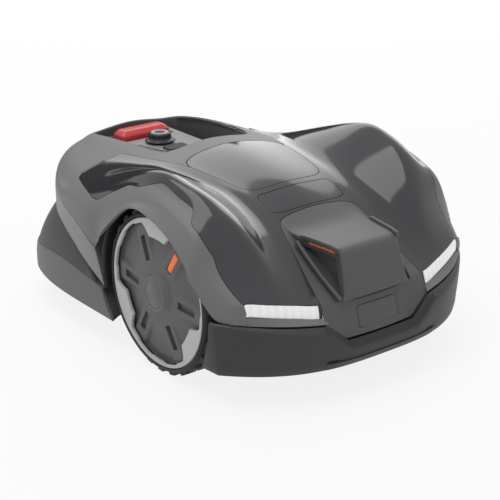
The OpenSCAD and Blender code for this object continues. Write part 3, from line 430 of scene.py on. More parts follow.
GLOSS = finish("gloss_graphite", (0.036, 0.037, 0.041), (0.09, 0.13), 0.05, 700, 0.02, 0.0002)
MATTE = finish("matte_grey", (0.175, 0.175, 0.177), (0.46, 0.6), 0.06, 1100, 0.14)
BAND = finish("pale_band", (0.26, 0.26, 0.262), (0.45, 0.58), 0.05, 1100, 0.12)
NOSE = finish("nose_charcoal", (0.092, 0.092, 0.094), (0.42, 0.56), 0.07, 1000, 0.16)
# near black: the status tile's own colour, and painted shade where it lies on the bumper's notch
TILE_BLACK_AND_SHADE = finish("tile_black_and_painted_shade", (0.013, 0.013, 0.0135), (0.5, 0.7), 0.1, 900, 0.12)
BUMPER = finish("bumper_charcoal", (0.031, 0.031, 0.032), (0.42, 0.58), 0.07, 900, 0.18)
SKIRT = finish("skirt_grey", (0.14, 0.14, 0.142), (0.48, 0.62), 0.06, 1000, 0.15)
# darker than the skirt grey below it: painted shade under the pale band's overhang
FOLD_SHADE = finish("fold_painted_shade", (0.055, 0.055, 0.056), (0.5, 0.64), 0.06, 1000, 0.15)
CARRIER = finish("carrier_black", (0.01, 0.01, 0.0105), (0.55, 0.75), 0.1, 800, 0.12)
CHASSIS = finish("chassis_black", (0.022, 0.022, 0.023), (0.5, 0.7), 0.12, 700, 0.15, dust=0.25)
WALL = finish("recess_charcoal", (0.085, 0.085, 0.087), (0.5, 0.64), 0.07, 1000, 0.15)
TRAY = finish("tray_grey", (0.27, 0.27, 0.272), (0.45, 0.6), 0.05, 1000, 0.12)
RED = finish("stop_red", (0.62, 0.045, 0.045), (0.28, 0.4), 0.05, 900, 0.06, coat=0.15)
# orange of the wheel's insert with a little emission: painted glow, the insert is no lamp
ORANGE_WITH_GLOW = finish("orange_painted_glow", (0.95, 0.22, 0.06), (0.35, 0.5), 0.05, 800, 0.08, glow=0.08)
AMBER = finish("amber_lens", (0.72, 0.2, 0.07), (0.2, 0.3), 0.08, 600, 0.04, coat=0.3, glow=0.05)
KNOB = finish("knob_black", (0.008, 0.008, 0.0085), (0.34, 0.5), 0.08, 800, 0.1, coat=0.04)
PALE = finish("dial_grey", (0.36, 0.36, 0.365), (0.35, 0.5), 0.05, 900, 0.08)
BEZEL = finish("lamp_bezel", (0.02, 0.02, 0.021), (0.2, 0.32), 0.08, 700, 0.05)
HUB = finish("hub_grey", (0.105, 0.105, 0.107), (0.42, 0.58), 0.08, 900, 0.16, dust=0.12)
CAP = finish("cap_grey", (0.125, 0.125, 0.127), (0.38, 0.5), 0.06, 900, 0.1)
RING = finish("ring_silver", (0.58, 0.58, 0.585), (0.36, 0.5), 0.05, 900, 0.08)
RUBBER = finish("tyre_rubber", (0.016, 0.016, 0.016), (0.62, 0.85), 0.2, 420, 0.35, 0.0008, dust=0.3)
ROLLER = finish("roller_rubber", (0.02, 0.02, 0.021), (0.6, 0.8), 0.18, 500, 0.3, 0.0006, dust=0.3)
STEEL = finish("turned_steel", (0.55, 0.56, 0.57), (0.22, 0.4), 0.06, 350, 0.08, metal=1.0)
BLADE = finish("blade_steel", (0.62, 0.63, 0.64), (0.18, 0.36), 0.08, 240, 0.1, metal=1.0)
MOTOR = finish("motor_metal", (0.4, 0.41, 0.42), (0.34, 0.5), 0.08, 500, 0.15, metal=1.0)
BRASS = finish("bush_brass", (0.55, 0.42, 0.2), (0.28, 0.42), 0.08, 500, 0.1, metal=1.0)
BOARD = finish("board_green", (0.02, 0.1, 0.045), (0.3, 0.5), 0.12, 300, 0.2)
PACK = finish("battery_black", (0.02, 0.021, 0.023), (0.4, 0.6), 0.1, 600, 0.15)


def lamp_finish():
    """Frosted white lens with faint ribs across it, a little lit from behind."""
    m = finish("lamp_white", (0.78, 0.79, 0.8), (0.12, 0.22), 0.04, 500, 0.03, coat=0.4)
    tree, calc = m.node_tree, adder(m.node_tree)
    across = split_node(tree, tree.nodes.new("ShaderNodeTexCoord").outputs["Object"])["X"]
    rib = calc("ADD", calc("MULTIPLY", calc("SINE", calc("MULTIPLY", across, 620.0)), 0.1), 0.8)
    glow = tree.nodes.new("ShaderNodeCombineColor")
    for k in range(3):
        feed(tree, rib, glow.inputs[k])
    bsdf = tree.nodes["Principled BSDF"]
    feed(tree, glow.outputs[0], bsdf.inputs["Emission Color"])
    bsdf.inputs["Emission Strength"].default_value = 0.36
    return m


LAMP = lamp_finish()

# ---------------------------------------------------------------- seams between the panels

GAP = 0.8  # width of the seams, mm
SIDE_GAP, DECK_GAP, BAND_GAP = 0.014, 0.016, 0.012  # what the panels keep off the seams, in rail counts
RAIL_MM, SPINE_MM = 30.0, 74.0  # millimetres to one rail count, over the body and near its middle


def seam(knots, y, soft=4.0):
    """Polyline through knots (y, v), rounded by averaging over 'soft' mm either side."""
    k = np.asarray(sorted(knots), float)
    o = np.linspace(-1, 1, 9)
    w = (1 - o * o) ** 2
    yy = np.asarray(y, float)[..., None] + o * soft * 2
    return (np.interp(yy, k[:, 0], k[:, 1]) * w).sum(-1) / w.sum()


SIDE_SEAM = [(60, 4.35), (37, 4.49), (16, 4.25), (-6, 4.12), (-24, 4.01), (-51, 4.2), (-66, 4.05), (-92, 3.66),
             (-126, 3.8), (-156, 3.73), (-160, 4.03), (-165, 4.31), (-194, 4.24), (-227, 4.0), (-273, 4.16),
             (-300, 4.1)]
DECK_SEAM = [(-6, 1.11), (0, 1.14), (20, 1.28), (42, 1.4), (70, 1.49), (94, 1.53), (128, 1.57), (152, 1.72)]
HOOD_TAIL = [(4.46, 40), (4.44, 46), (4.25, 68), (3.95, 100), (3.6, 126), (3.45, 136), (3.36, 141),
             (3.24, 144.2), (3.08, 145.4), (2.9, 145.2), (2.6, 143.4), (2.3, 139.6), (2.0, 134), (1.76, 130),
             (1.572, 128.5)]
HOOD_ROW, HOOD_TIP, TAIL_ROW = 40.0, 128.5, 152.0
TAIL_V = 1.72  # rail count at which the grey top's parts meet behind the tail row


def side_seam(y):
    """Rail count of the seam between the hood and the side panels."""
    return seam(SIDE_SEAM, y)


def deck_seam(y):
    """Rail count of the seam between the hood and the deck surround."""
    return seam(DECK_SEAM, y, 6)


def even(v, y, n, scale=RAIL_MM):
    """The same curve in (v, y) with n evenly spaced points; one rail count is taken as 'scale' mm."""
    s = np.concatenate([[0], np.cumsum(np.hypot(np.diff(v) * scale, np.diff(y)))])
    t = np.linspace(0, s[-1], n)
    return np.interp(t, s, v), np.interp(t, s, y)


def hood_tail(n, off):
    """Border of the hood's tail in (v, y), from the side seam round the rear corner to the deck seam: a smoothed
    polyline moved outwards by 'off' mm along its normal in plan."""
    k = np.array(HOOD_TAIL)
    v, y = even(k[:, 0], k[:, 1], 400)
    o = np.exp(-0.5 * (np.arange(-12, 13) / 5.0) ** 2)
    pv, py = [np.convolve(np.pad(q, 12, mode="reflect", reflect_type="odd"), o / o.sum(), mode="valid")
              for q in (v, y)]
    dv, dy = np.gradient(pv) * RAIL_MM, np.gradient(py)
    long = np.hypot(dv, dy)
    return even(pv + off * dy / long / RAIL_MM, py - off * dv / long, n)


def pane_rim(pane, rear, stop, n):
    """Outline of a pane from the middle of its front or rear edge towards its side, up to the share 'stop' of its
    half length: a superellipse |a|^n + |b|^n = 1 with its half width and bowed ends, in even steps."""
    k = pane["n"][1 if rear else 0]
    th = np.linspace(0, np.pi / 2, 6000)
    a, b = np.sin(th) ** (2 / k), np.cos(th) ** (2 / k)
    a, b = a[b >= stop - 1e-9], b[b >= stop - 1e-9] * (1 if rear else -1)
    return even(*pane_place(pane, a, b), n, SPINE_MM)


def pane_place(pane, a, b):
    """(v, y) of the pane's own coordinates: half width by share of length, ends bowed by the square of a."""
    w = mix(*pane["half_v"], (b + 1) / 2)
    return a * w, pane["mid"] + b * pane["half"] + a * a * mix(*pane["bows"], (b + 1) / 2)


def pane_flank(pane, lo, hi, n):
    """Side of a pane from share lo to share hi of its half length."""
    b = np.linspace(lo, hi, n)
    k = np.where(b > 0, pane["n"][1], pane["n"][0])
    return pane_place(pane, (1 - np.abs(b) ** k) ** (1 / k), b)


def pane_corner(pane, rear):
    """Share of the half length at which a pane's corner is rounded half way."""
    return 0.5 ** (1 / pane["n"][1 if rear else 0])


LABEL = dict(n=(7, 7), half_v=(0.94, 0.93), mid=-141.5, half=19.5, bows=(4.0, 4.0))
HATCH = dict(n=(7, 3.6), half_v=(1.0, 1.22), mid=-42.5, half=70.5, bows=(5.0, -5.0))
NOSE_TOP = dict(n=(7, 7), half_v=(1.0, 1.0), mid=-225.5, half=61.5, bows=(0.0, -1.0))
HATCH_JOIN = 0.56  # share of the hatch's half length at which the deck seam leaves it


def strip_between(low, high, rows):
    """Grid between two edge curves in (v, y): straight rungs, rows given as shares of the way across."""
    t = np.asarray(rows)[:, None]
    return mix(low[0][None], high[0][None], t), mix(low[1][None], high[1][None], t)


def pane_piece(pane, n=61):
    """Whole pane: the square (a, b) squeezed to the superellipse, drawn in by the seam's width."""
    s = np.linspace(-1, 1, n)
    a, b = np.meshgrid(s, s)
    q = squeeze(a, b, np.where(b > 0, pane["n"][1], pane["n"][0]))
    v, y = pane_place(pane, a * q, b * q)
    mid = pane["mid"]
    return sheet(body(v * (1 - GAP / SPINE_MM), mid + (y - mid) * (1 - GAP / pane["half"])))


# ---------------------------------------------------------------- hood, hatch and label plate

HOOD_STEPS, RIDGE_STEPS, HOOD_TAIL_STEPS = 26, 47, 61
RIDGE_FROM, RIDGE_TO = 2.0, 3.4  # rail counts between which the hood's columns lie close together


def span(a, b, step):
    """From a to b in even steps of about the given size."""
    return np.linspace(a, b, max(2, int(round(abs(b - a) / step)) + 1))


def hood_flanks(n):
    """Sides of the nose, the label plate and the hatch that the hood's side part runs along, n points each."""
    return [pane_flank(NOSE_TOP, 0, pane_corner(NOSE_TOP, True), n),
            pane_flank(LABEL, -pane_corner(LABEL, False), pane_corner(LABEL, True), n),
            pane_flank(HATCH, -pane_corner(HATCH, False), HATCH_JOIN, n)]


def hood_inner(y):
    """Inner border of the hood's side part: the nose's side, a straight step to the label plate, its side, a
    straight step to the hatch, its side, then the deck seam."""
    flanks = hood_flanks(160)
    kv = np.concatenate([[1.0]] + [f[0] for f in flanks])
    ky = np.concatenate([[-300.0]] + [f[1] for f in flanks])
    end_v, end_y = kv[-1], ky[-1]
    after = deck_seam(np.maximum(y, end_y)) + (end_v - deck_seam(end_y)) * (1 - ease((y - end_y) / 20))
    return np.where(y > end_y, after, np.interp(y, ky, kv))


def hood_cols(inner, outer):
    """Rail counts across the hood's side: even steps out to the ridge, the same fine steps over it in every row,
    then even steps to its outer border."""
    t = shares(HOOD_STEPS)[None]
    ridge = np.repeat(np.linspace(RIDGE_FROM, RIDGE_TO, RIDGE_STEPS)[None], len(inner), 0)
    return np.concatenate([mix(inner, RIDGE_FROM, t)[:, :-1], ridge, mix(RIDGE_TO, outer, t)[:, 1:]], 1)


def hood_parts():
    """Half of the hood: a ladder of rows between its inner and outer borders, a fan of rungs over its tail, and
    the two strips that cross the middle in front of and behind the label plate."""
    knots = np.concatenate([[FRONT], np.ravel([f[1] for f in hood_flanks(2)])[1:], [HOOD_ROW]])
    rows = [span(a, b, 2.0) for a, b in zip(knots[:-1], knots[1:])]
    y = np.concatenate([r[:-1] for r in rows] + [[HOOD_ROW]])[:, None]
    v = hood_cols(hood_inner(y), side_seam(y) - SIDE_GAP)
    parts = [sheet(body(v, y))]
    s = ((v[-1] - v[-1, 0]) / (v[-1, -1] - v[-1, 0]))[None]
    ov, oy = hood_tail(HOOD_TAIL_STEPS, -GAP / 2)
    iy = np.linspace(HOOD_ROW, HOOD_TIP - GAP / 2, HOOD_TAIL_STEPS)
    ov[0], oy[0] = side_seam(HOOD_ROW) - SIDE_GAP, HOOD_ROW
    iv = np.append(hood_inner(iy)[:-1], ov[-1])
    iy[-1] = oy[-1]
    parts.append(sheet(body(mix(iv[:, None], ov[:, None], s), mix(iy[:, None], oy[:, None], s))))
    for first, second, r in ((NOSE_TOP, LABEL, rows[1]), (LABEL, HATCH, rows[3])):
        low = pane_rim(first, True, pane_corner(first, True), 50)
        high = pane_rim(second, False, pane_corner(second, False), 50)
        v, yy = strip_between(low, high, (r - r[0]) / (r[-1] - r[0]))
        parts.append(sheet(body(v, yy)))
    return parts


for name, parts, rides, node in (("hood_shell", both(*hood_parts()), "outer_body", "hood"),
                                 ("hatch_cover", [pane_piece(HATCH, 81)], "hatch_lid", "hatch"),
                                 ("plain_plate", [pane_piece(LABEL)], "outer_body", "label_plate")):
    piece(name, parts, rides, GLOSS, (node,), wall=2.0, round_w=0.45)

# ---------------------------------------------------------------- deck surround, rear top and side panels

OPENING = dict(n=(9, 9), half_v=(1.0, 1.12), mid=166.0, half=104.0, bows=(0.0, 0.0))
BAND_SEAM = [(25, 5.52), (40, 5.49), (70, 5.41), (123, 5.31), (160, 5.19), (180, 5.145), (300, 5.13)]
PANEL_STEPS, TAIL_STEPS, RUNGS, BACK_COLS = 17, 101, 61, 24
BACK_STEP = 3.2
BAND_LEAD = 22.0  # how far the pale band's front edge leans forward at the hem
BACK_LEAN = 3.0
FLANGE_X, FLANGE_WIDE = 212.5, 9.0  # the arch's flange ends at this x, or is this wide


def band_seam(y):
    """Rail count of the seam above the pale band at the rear."""
    return seam(BAND_SEAM, y, 6)


def panel_cols(a, stop):
    """Rail counts across the side panel: even steps to the crease, then even steps to its lower border."""
    t = shares(PANEL_STEPS)[None]
    return np.concatenate([mix(a, CREASE, t), mix(CREASE, stop, t)[:, 1:]], 1)


def back_wall():
    """Half of the rear wall of the grey top: from the rear end's outline straight down to the band seam's height,
    leaning back towards the middle by a fourth power."""
    v = np.concatenate([np.linspace(0, TAIL_V, BACK_COLS)[:-1], np.linspace(TAIL_V, band_seam(REAR) - BAND_GAP, 40)])
    B = body(v, REAR)
    lean = BACK_LEAN * (1 - (B[:, 0] / B[-1, 0]) ** 4)
    t = shares(15)[:, None]
    z = mix(B[None, :, 2], B[-1, 2], t)
    y = B[None, :, 1] + lean[None] * np.sin(t * np.pi / 2)
    return sheet(np.stack(np.broadcast_arrays(B[None, :, 0], y, z), -1))


def back_band():
    """Half of the pale band across the rear wall: the band's rear edge carried to the middle with the wall's
    lean."""
    E = body(mix(band_seam(REAR) + BAND_GAP, HEM, shares(25)), REAR)
    u = shares(24)[None]
    lean = BACK_LEAN * (1 - u ** 4)
    return sheet(np.stack(np.broadcast_arrays(E[:, None, 0] * u, E[:, None, 1] + lean, E[:, None, 2]), -1))


def rear_parts():
    """Half of the grey top: the bridge between hatch and opening, the fan out to the deck seam, the part outside
    the hood's tail, and the rear turn down to the band."""
    rear = pane_rim(HATCH, True, HATCH_JOIN, 46)
    hv, hy = rear[0] * (1 + GAP / 2 / SPINE_MM), rear[1] + GAP / 2
    v, y = strip_between((hv, hy), pane_rim(OPENING, False, 0, 46), shares(RUNGS))
    # outer column of the fan: along the deck seam to the hood's tip, then on to the tail row
    tv, ty = hood_tail(TAIL_STEPS, GAP / 2)
    half = RUNGS // 2 + 1
    seam_y = np.linspace(hy[-1], HOOD_TIP - 1.0, half)
    seam_v = hood_inner(seam_y) - DECK_GAP
    seam_v[0], seam_y[0] = hv[-1], hy[-1]
    on = shares(half)[1:]
    tip = np.array([deck_seam(HOOD_TIP) - DECK_GAP, HOOD_TIP + GAP / 2])
    out_v = np.concatenate([seam_v[:-1], [tip[0]], mix(tip[0], TAIL_V, on)])
    out_y = np.concatenate([seam_y[:-1], [tip[1]], mix(tip[1], TAIL_ROW, on)])
    s = shares(20)[None]
    fan_v, fan_y = mix(v[:, -1:], out_v[:, None], s), mix(y[:, -1:], out_y[:, None], s)
    parts = [sheet(body(v, y)), sheet(body(fan_v, fan_y))]
    # part outside the hood's tail: rungs from the tail's border to the band seam and the tail row
    tv[0], ty[0] = side_seam(HOOD_ROW) + SIDE_GAP, HOOD_ROW
    tv[-1], ty[-1] = tip
    turn = int(np.argmax(ty))
    to_y = np.concatenate([np.linspace(HOOD_ROW, TAIL_ROW, turn + 1), np.full(TAIL_STEPS - 1 - turn, TAIL_ROW)])
    to_v = band_seam(to_y) - BAND_GAP
    to_v[turn:] = np.linspace(to_v[turn], TAIL_V, TAIL_STEPS - turn)
    cols = panel_cols(np.array([[tv[0]]]), np.array([[to_v[0]]]))[0]
    f = ((cols - cols[0]) / (cols[-1] - cols[0]))[None]
    share = mix(f, shares(f.shape[1])[None], ease(shares(TAIL_STEPS) / 0.3)[:, None])
    share[turn:] = shares(f.shape[1])[None]
    parts.append(sheet(body(mix(tv[:, None], to_v[:, None], share), mix(ty[:, None], to_y[:, None], share))))
    # rear turn behind the tail row
    back = span(TAIL_ROW, REAR, BACK_STEP)[:, None]
    t = ((to_v[turn:] - TAIL_V) / (to_v[turn] - TAIL_V))[None, ::-1]
    parts.append(sheet(body(mix(TAIL_V, band_seam(back) - BAND_GAP, t), back)))
    return parts


def opening_parts():
    """Half of the ring round the control opening's rear: rungs from the opening's edge out to the rear end and
    then to the line at TAIL_V, whose points the rear turn shares."""
    back = span(TAIL_ROW, REAR, BACK_STEP)[::-1]
    out_v = np.concatenate([np.linspace(0, TAIL_V, BACK_COLS)[:-1], np.full(len(back), TAIL_V)])
    out_y = np.concatenate([np.full(BACK_COLS - 1, REAR), back])
    v0, y0 = pane_rim(OPENING, True, 0, len(out_v))
    t = shares(20)[:, None]
    return [sheet(body(mix(v0[None], out_v[None], t), mix(y0[None], out_y[None], t))), back_wall()]


def panel_parts():
    """Half of the side panel: from the side seam to the hem of the wheel arch, with a flange turned inwards, and
    the strip that runs on from its front edge under the lamp to the nose."""
    y = np.concatenate([span(FRONT, -236, 2.5)[:-1], span(-236, -196, 1.5)[:-1], span(-196, 10, 2.5)[:-1],
                        span(10, ARCH_REAR - 0.02, 1.5), [ARCH_REAR + 0.02, HOOD_ROW]])[:, None]
    stop = np.where(y > ARCH_REAR, band_seam(y) - BAND_GAP, HEM)
    v = panel_cols(side_seam(y) + SIDE_GAP, stop)
    P = body(v, y)
    arch = (y[:, 0] > -262) & (y[:, 0] < ARCH_REAR)
    hem = P[arch, -1][:, None]
    inn = np.minimum(FLANGE_WIDE, hem[..., 0] - FLANGE_X) * shares(6)[None]
    return [sheet(P), sheet(hem - inn[..., None] * np.array([1.0, 0, 0])), lamp_strip(v[0, :PANEL_STEPS])]


def lamp_strip(edge_v):
    """Strip under the lamp: from just below the lens out to the bumper's top, joined to the panel's front edge,
    which it leaves in the panel's own direction by a quadratic curve."""
    near = edge_v[0] - 0.09
    v = np.concatenate([np.linspace(1.015, near, 80)[:-1], np.linspace(near, edge_v[0], 20)[:-1], edge_v])
    _, n = lamp_line(np.minimum(v, 4.9))
    e = body(v, FRONT)
    out = ease((v - edge_v[0] + 0.07) / 0.07)
    drop, lean = mix(LENS_FOOT + 0.9, 0.0, out), mix(lamp_lean(v) + 0.4, 0.0, out)
    head = e + n * lean[:, None] - UP * drop[:, None]
    x = np.minimum(np.abs(e[:, 0]), 206.5)
    foot = np.stack([x, bumper_y(x), bumper_edge(x) + 1.3], -1)
    foot = foot - bumper_out(x) * (bumper_chamfer(x) + 2.2)[:, None]
    foot = mix(foot, body(HEM, FRONT), ease((v - 4.4) / (edge_v[-1] - 4.4))[:, None])
    ahead = unit(e - body(v, FRONT + 2.0))
    turn = mix((head + foot) / 2, head + ahead * 6.0, out[:, None])
    t = shares(PANEL_STEPS)[None, :, None]
    G = (1 - t) ** 2 * head[:, None] + 2 * t * (1 - t) * turn[:, None] + t * t * foot[:, None]
    G[-1] = body(np.linspace(CREASE, HEM, PANEL_STEPS), FRONT)
    return flip(sheet(G))


def band_parts():
    """Half of the pale band between its seam and the hem, from the wheel arch round to the tail; its front edge
    leans forward towards the hem and is turned inwards."""
    y = np.concatenate([span(ARCH_REAR + 0.1, 100, 2)[:-1], span(100, REAR, 3)])[:, None]
    t = shares(25)[None]
    P = body(mix(band_seam(y) + BAND_GAP, HEM, t), y)
    P[..., 1] -= BAND_LEAD * t * (1 - ease((y - ARCH_REAR) / 45))
    inn = shares(5)[:, None, None]
    return [sheet(P), sheet(P[:1] + inn[::-1] * np.array([-9.0, 2.0, 0])), back_band()]


piece("rear_band", both(*band_parts()), "outer_body", BAND, (), wall=2.0, round_w=0.4)

# ---------------------------------------------------------------- bumper, chin lip and tail skirt

HALF_L = 311.0
BUMP_HALF, BUMP_DEPTH = 212.0, 83.0
NOTCH_IN, NOTCH_OUT = 56.0, 88.0
BUMP_FOOT, BUMP_STEP = 42.0, 51.0  # heights of the bumper's foot and of the lip that stands out above it
TYRE_ROOM = 117.5  # radius round the axle to which the bumper's ends turn in


def bumper_y(x):
    """Plan of the bumper's face: a cubic that falls back 83 mm at its outer ends."""
    return -HALF_L + BUMP_DEPTH * (np.abs(x) / BUMP_HALF) ** 3


def bumper_out(x):
    """Outward direction of the bumper's face in plan."""
    s = 3 * BUMP_DEPTH * x * np.abs(x) / BUMP_HALF ** 3
    return unit(np.stack([s, -np.ones_like(x), np.zeros_like(x)], -1))


def bumper_edge(x):
    """Height of the bumper's top edge: 73.5 mm in the notch, 99 beside it, rising to 113 at the ends."""
    return np.interp(np.abs(x), [0, NOTCH_IN, NOTCH_OUT, BUMP_HALF], [73.5, 73.5, 99, 113])


def bumper_chamfer(x):
    """Width of the bumper's top chamfer: 9 mm in the middle, 2.5 at the ends."""
    return mix(9.0, 2.5, ease((np.abs(x) - 80) / 132))


def bumper_stations(reach, step):
    """Distances across the bumper out to 'reach' on both sides, close together at the corners of its notch."""
    half = np.concatenate([span(0, NOTCH_IN - 1, 4), [NOTCH_IN], span(NOTCH_IN + 1, NOTCH_OUT - 1, 3.5),
                           [NOTCH_OUT], span(NOTCH_OUT + 1, reach, step)])
    return np.concatenate([-half[:0:-1], half])


def bumper_parts():
    """Bumper: a section of top land, chamfer, face and turned-in foot carried along the cubic plan; a shallow
    lip stands out along the foot in the middle, and the ends turn in along an arc round the wheels."""
    x = bumper_stations(0.985 * BUMP_HALF, 3)
    n, y, top = bumper_out(x), bumper_y(x), bumper_edge(x)
    # the ends turn in: three more sections on each side, moved out and back, facing ever more sideways
    ex, ey, turn = np.array([1.6, 3.0, 3.9]), np.array([1.6, 5.0, 10.0]), np.array([0.45, 0.8, 1.0])
    tip_n = unit(mix(n[-1][None], np.array([[1.0, 0, 0]]), turn[:, None]))
    tip_y = y[-1] + ey
    n = np.concatenate([(tip_n * [-1, 1, 1])[::-1], n, tip_n])
    y = np.concatenate([tip_y[::-1], y, tip_y])
    top = np.pad(top, 3, mode="edge")
    x = np.concatenate([(-x[-1] - ex)[::-1], x, x[-1] + ex])
    c = bumper_chamfer(np.minimum(np.abs(x), BUMP_HALF))
    middle = 1 - ease((np.abs(x) - 88) / 10)
    lip = 1.4 * middle
    land = 24.0 * (1 - 0.76 * ease((np.abs(x) - 150) / 60))
    fall = ((top - c - BUMP_STEP) / (top - c - BUMP_FOOT)) ** 2
    # the section's points as (distance inwards, height), from the land over the face to the foot and back up
    section = [(c + land, top - 3.6), (c + 2.2, top - 2.6), (c + 0.9, top - 0.7), (c + 0.2, top - 0.05),
               (c * 0.92, top - c * 0.1), (c * 0.25, top - c * 0.7), (c * 0.06, top - c * 0.92), (0, top - c * 1.2)]
    section += [(5 * s * s, mix(top - c, BUMP_FOOT, s)) for s in (0.25, 0.5, 0.7)]
    section += [(4.0 * fall + 2.0 * middle, BUMP_STEP + 1.2), (4.2 * fall - lip, BUMP_STEP),
                (4.6 - lip, BUMP_FOOT + 2), (6.0 - lip * 0.5, BUMP_FOOT), (8.8, BUMP_FOOT),
                (4.2, mix(top - c, BUMP_FOOT, 0.4)), (c + land, top - 6.0)]
    P = np.stack([np.stack([x, y, z + 0 * x], -1) - n * (inward + 0 * x)[:, None] for inward, z in section], 1)
    w = np.zeros(len(x))
    w[-3:], w[:3] = (0.2, 0.6, 1.0), (1.0, 0.6, 0.2)
    arc = AXLE_Y - np.sqrt(TYRE_ROOM ** 2 - (P[..., 2] - AXLE_Z) ** 2)
    P[..., 1] += w[:, None] * (arc - tip_y[-1])
    return [capped(P[:, ::-1])]


def notch_parts():
    """Near-black sheet laid on the bumper's chamfer along the notch under the nose, painted shade of the groove there:
    the chamfer's own surface, 0.35 mm out, running on inwards under the nose."""
    x = bumper_stations(NOTCH_OUT + 6, 2)
    n, c = bumper_out(x), bumper_chamfer(x)
    crest = np.stack([x, bumper_y(x), bumper_edge(x)], -1)
    inward = np.stack([c + 22.0, c + 2.2, c + 0.7, c * 0.9, c * 0.5, c * 0.12], 1)
    down = np.stack([0 * c + 3.0, 0 * c + 2.2, 0 * c + 0.5, c * 0.1, c * 0.47, c * 0.84], 1)
    P = crest[:, None] - n[:, None] * inward[..., None] - UP * down[..., None]
    out = np.array([0, -0.66, 0.75])
    return [capped(np.concatenate([P + out * 0.35, P[:, ::-1] - out * 0.6], 1)[:, ::-1])]


piece("front_rail", bumper_parts(), "outer_body", BUMPER, ("front_bumper",), sharp=32)
# the notch sheet's near-black is painted shade of the groove between nose and bumper
piece("notch_painted_shade", notch_parts(), "outer_body", TILE_BLACK_AND_SHADE, (), sharp=32)


def rounded_plan(half, start, end, power, a):
    """Superellipse in plan: x by the cosine, y by the sine, each to the power 2 / power."""
    c, s = np.cos(a), np.sin(a)
    x = half * np.sign(c) * np.abs(c) ** (2 / power)
    return np.stack([x, start + (end - start) * np.abs(s) ** (2 / power)], -1)


SKIRT_CREASE = [(-30, 75), (18, 79), (35, 82), (81, 88), (127, 91), (185, 86), (240, 75), (320, 73)]
SKIRT_FOOT, SKIRT_START = 42.0, 40.0
LEAD_STEPS = 8  # stations of the front ends beside the wheels


def skirt_lines():
    """Top, crease and foot lines of the tail skirt round the rear, with the inward direction at each station; the
    front ends run on beside the wheels, the foot furthest."""
    a = np.linspace(0, np.pi, 241)
    h = rounded_plan(208, SKIRT_START, 290, 2.7, a)
    f = rounded_plan(220, SKIRT_START, HALF_L - 1.2, 3.2, a)
    h, f = [np.pad(k, ((LEAD_STEPS, LEAD_STEPS), (0, 0)), mode="edge") for k in (h, f)]
    on = np.linspace(1, 0, LEAD_STEPS + 1)[:-1]
    lead = np.concatenate([on, np.zeros(len(a)), on[::-1]])
    n = unit(np.stack([-f[:, 0] / 3 - f[:, 0], SKIRT_START - f[:, 1], 0 * lead], -1))
    top = np.stack([h[:, 0], h[:, 1] - 18 * lead, curve(REAR_HEM, h[:, 1])[:, 0] + 3.0], -1) + n * 8
    fold_y = f[:, 1] - 25 * lead
    fold = np.stack([f[:, 0], fold_y, curve(SKIRT_CREASE, fold_y)[:, 0]], -1) + n * 2.0
    foot = np.stack([f[:, 0], f[:, 1] - 52 * lead, 0 * lead + SKIRT_FOOT], -1)
    return top, fold, foot, n


def skirt_returns():
    """Inner ends of the tail skirt beside the wheels: its front edge line carried back and inwards, 2 mm thick."""
    top, fold, foot, _ = [k[-1] * [-1, 1, 1] for k in skirt_lines()]
    line = np.concatenate([mix(top, fold, shares(9)[:, None]),
                           mix(fold, foot, shares(13)[1:, None])])
    steps = [(-1.0, 0.2), (-6.5, 8.5), (-46, 20), (-46, 22), (-6.5, 10.5), (-2.6, 2.6)]
    return [capped(np.stack([line + [dx, dy, 0] for dx, dy in steps], 1))]


def skirt_parts():
    """Tail skirt below its crease: a slightly bulged wall from the crease to the foot, with a rolled lower edge."""
    _, fold, foot, n = skirt_lines()
    rows = [fold + n * 1.4 + UP * 0.9, fold + n * 0.5 + UP * 0.6, fold]
    rows += [mix(fold, foot, s) - n * 6.0 * s * (1 - s) * (1.2 - s) for s in (0.08, 0.2, 0.4, 0.6, 0.8, 0.92)]
    rows += [foot + UP * 2.0, foot + n * 1.0 + UP * 0.4, foot + n * 2.0, foot + n * 3.6 + UP * 0.6,
             fold + n * 4.4 - UP]
    return [capped(np.stack(rows, 1)[:, ::-1])]


def skirt_fold_parts():
    """Upper part of the tail skirt, darker than the part below as painted shade under the band: the slope from under
    the band out to the crease, bulged outwards.
    """
    top, fold, _, n = skirt_lines()
    edge = fold + n * 1.6 + UP * 0.5
    rows = [mix(top, edge, s) - n * 15.0 * s * (1 - s) for s in shares(13)]
    return [capped(np.stack(rows + [edge + n * 2.4, top + n * 2.4], 1)[:, ::-1])]


piece("tail_apron", skirt_parts() + both(*skirt_returns()), "outer_body", SKIRT, ("tail_skirt",),
      sharp=30)
# the fold's darker colour is painted shade under the band
piece("apron_fold", skirt_fold_parts(), "outer_body", FOLD_SHADE, (), sharp=30)


def wheel_house_parts():
    """Inner wall behind each wheel: part of a drum round the axle, 12 mm off the tyre."""
    a = np.radians(np.linspace(-15, 48, 50))[:, None]
    return [flip(sheet(wheel_grid(np.linspace(150, 212, 12)[None], 122.0, a)))]


piece("wheel_houses", both(*wheel_house_parts()), "outer_body", CARRIER, (), wall=2.0)

# ---------------------------------------------------------------- headlights

LENS_FOOT = 16.3  # drop of the lens's lower edge below the hood's edge, mm
SIDES = (("right", mirrored), ("left", lambda part: part))


def lamp_line(v):
    """Front edge of the hood and its outward direction in plan, at rail count v."""
    e = body(v, FRONT)
    t = body(v + 0.05, FRONT) - body(v - 0.05, FRONT)
    return e, unit(np.stack([t[:, 1], -t[:, 0], 0 * v], -1))


def lamp_lean(v):
    """How far the lamp's foot stands out in front of the hood's edge: 6 mm inside, 3 mm outside."""
    return mix(6.0, 3.0, np.clip((v - 1) / 3, 0, 1))


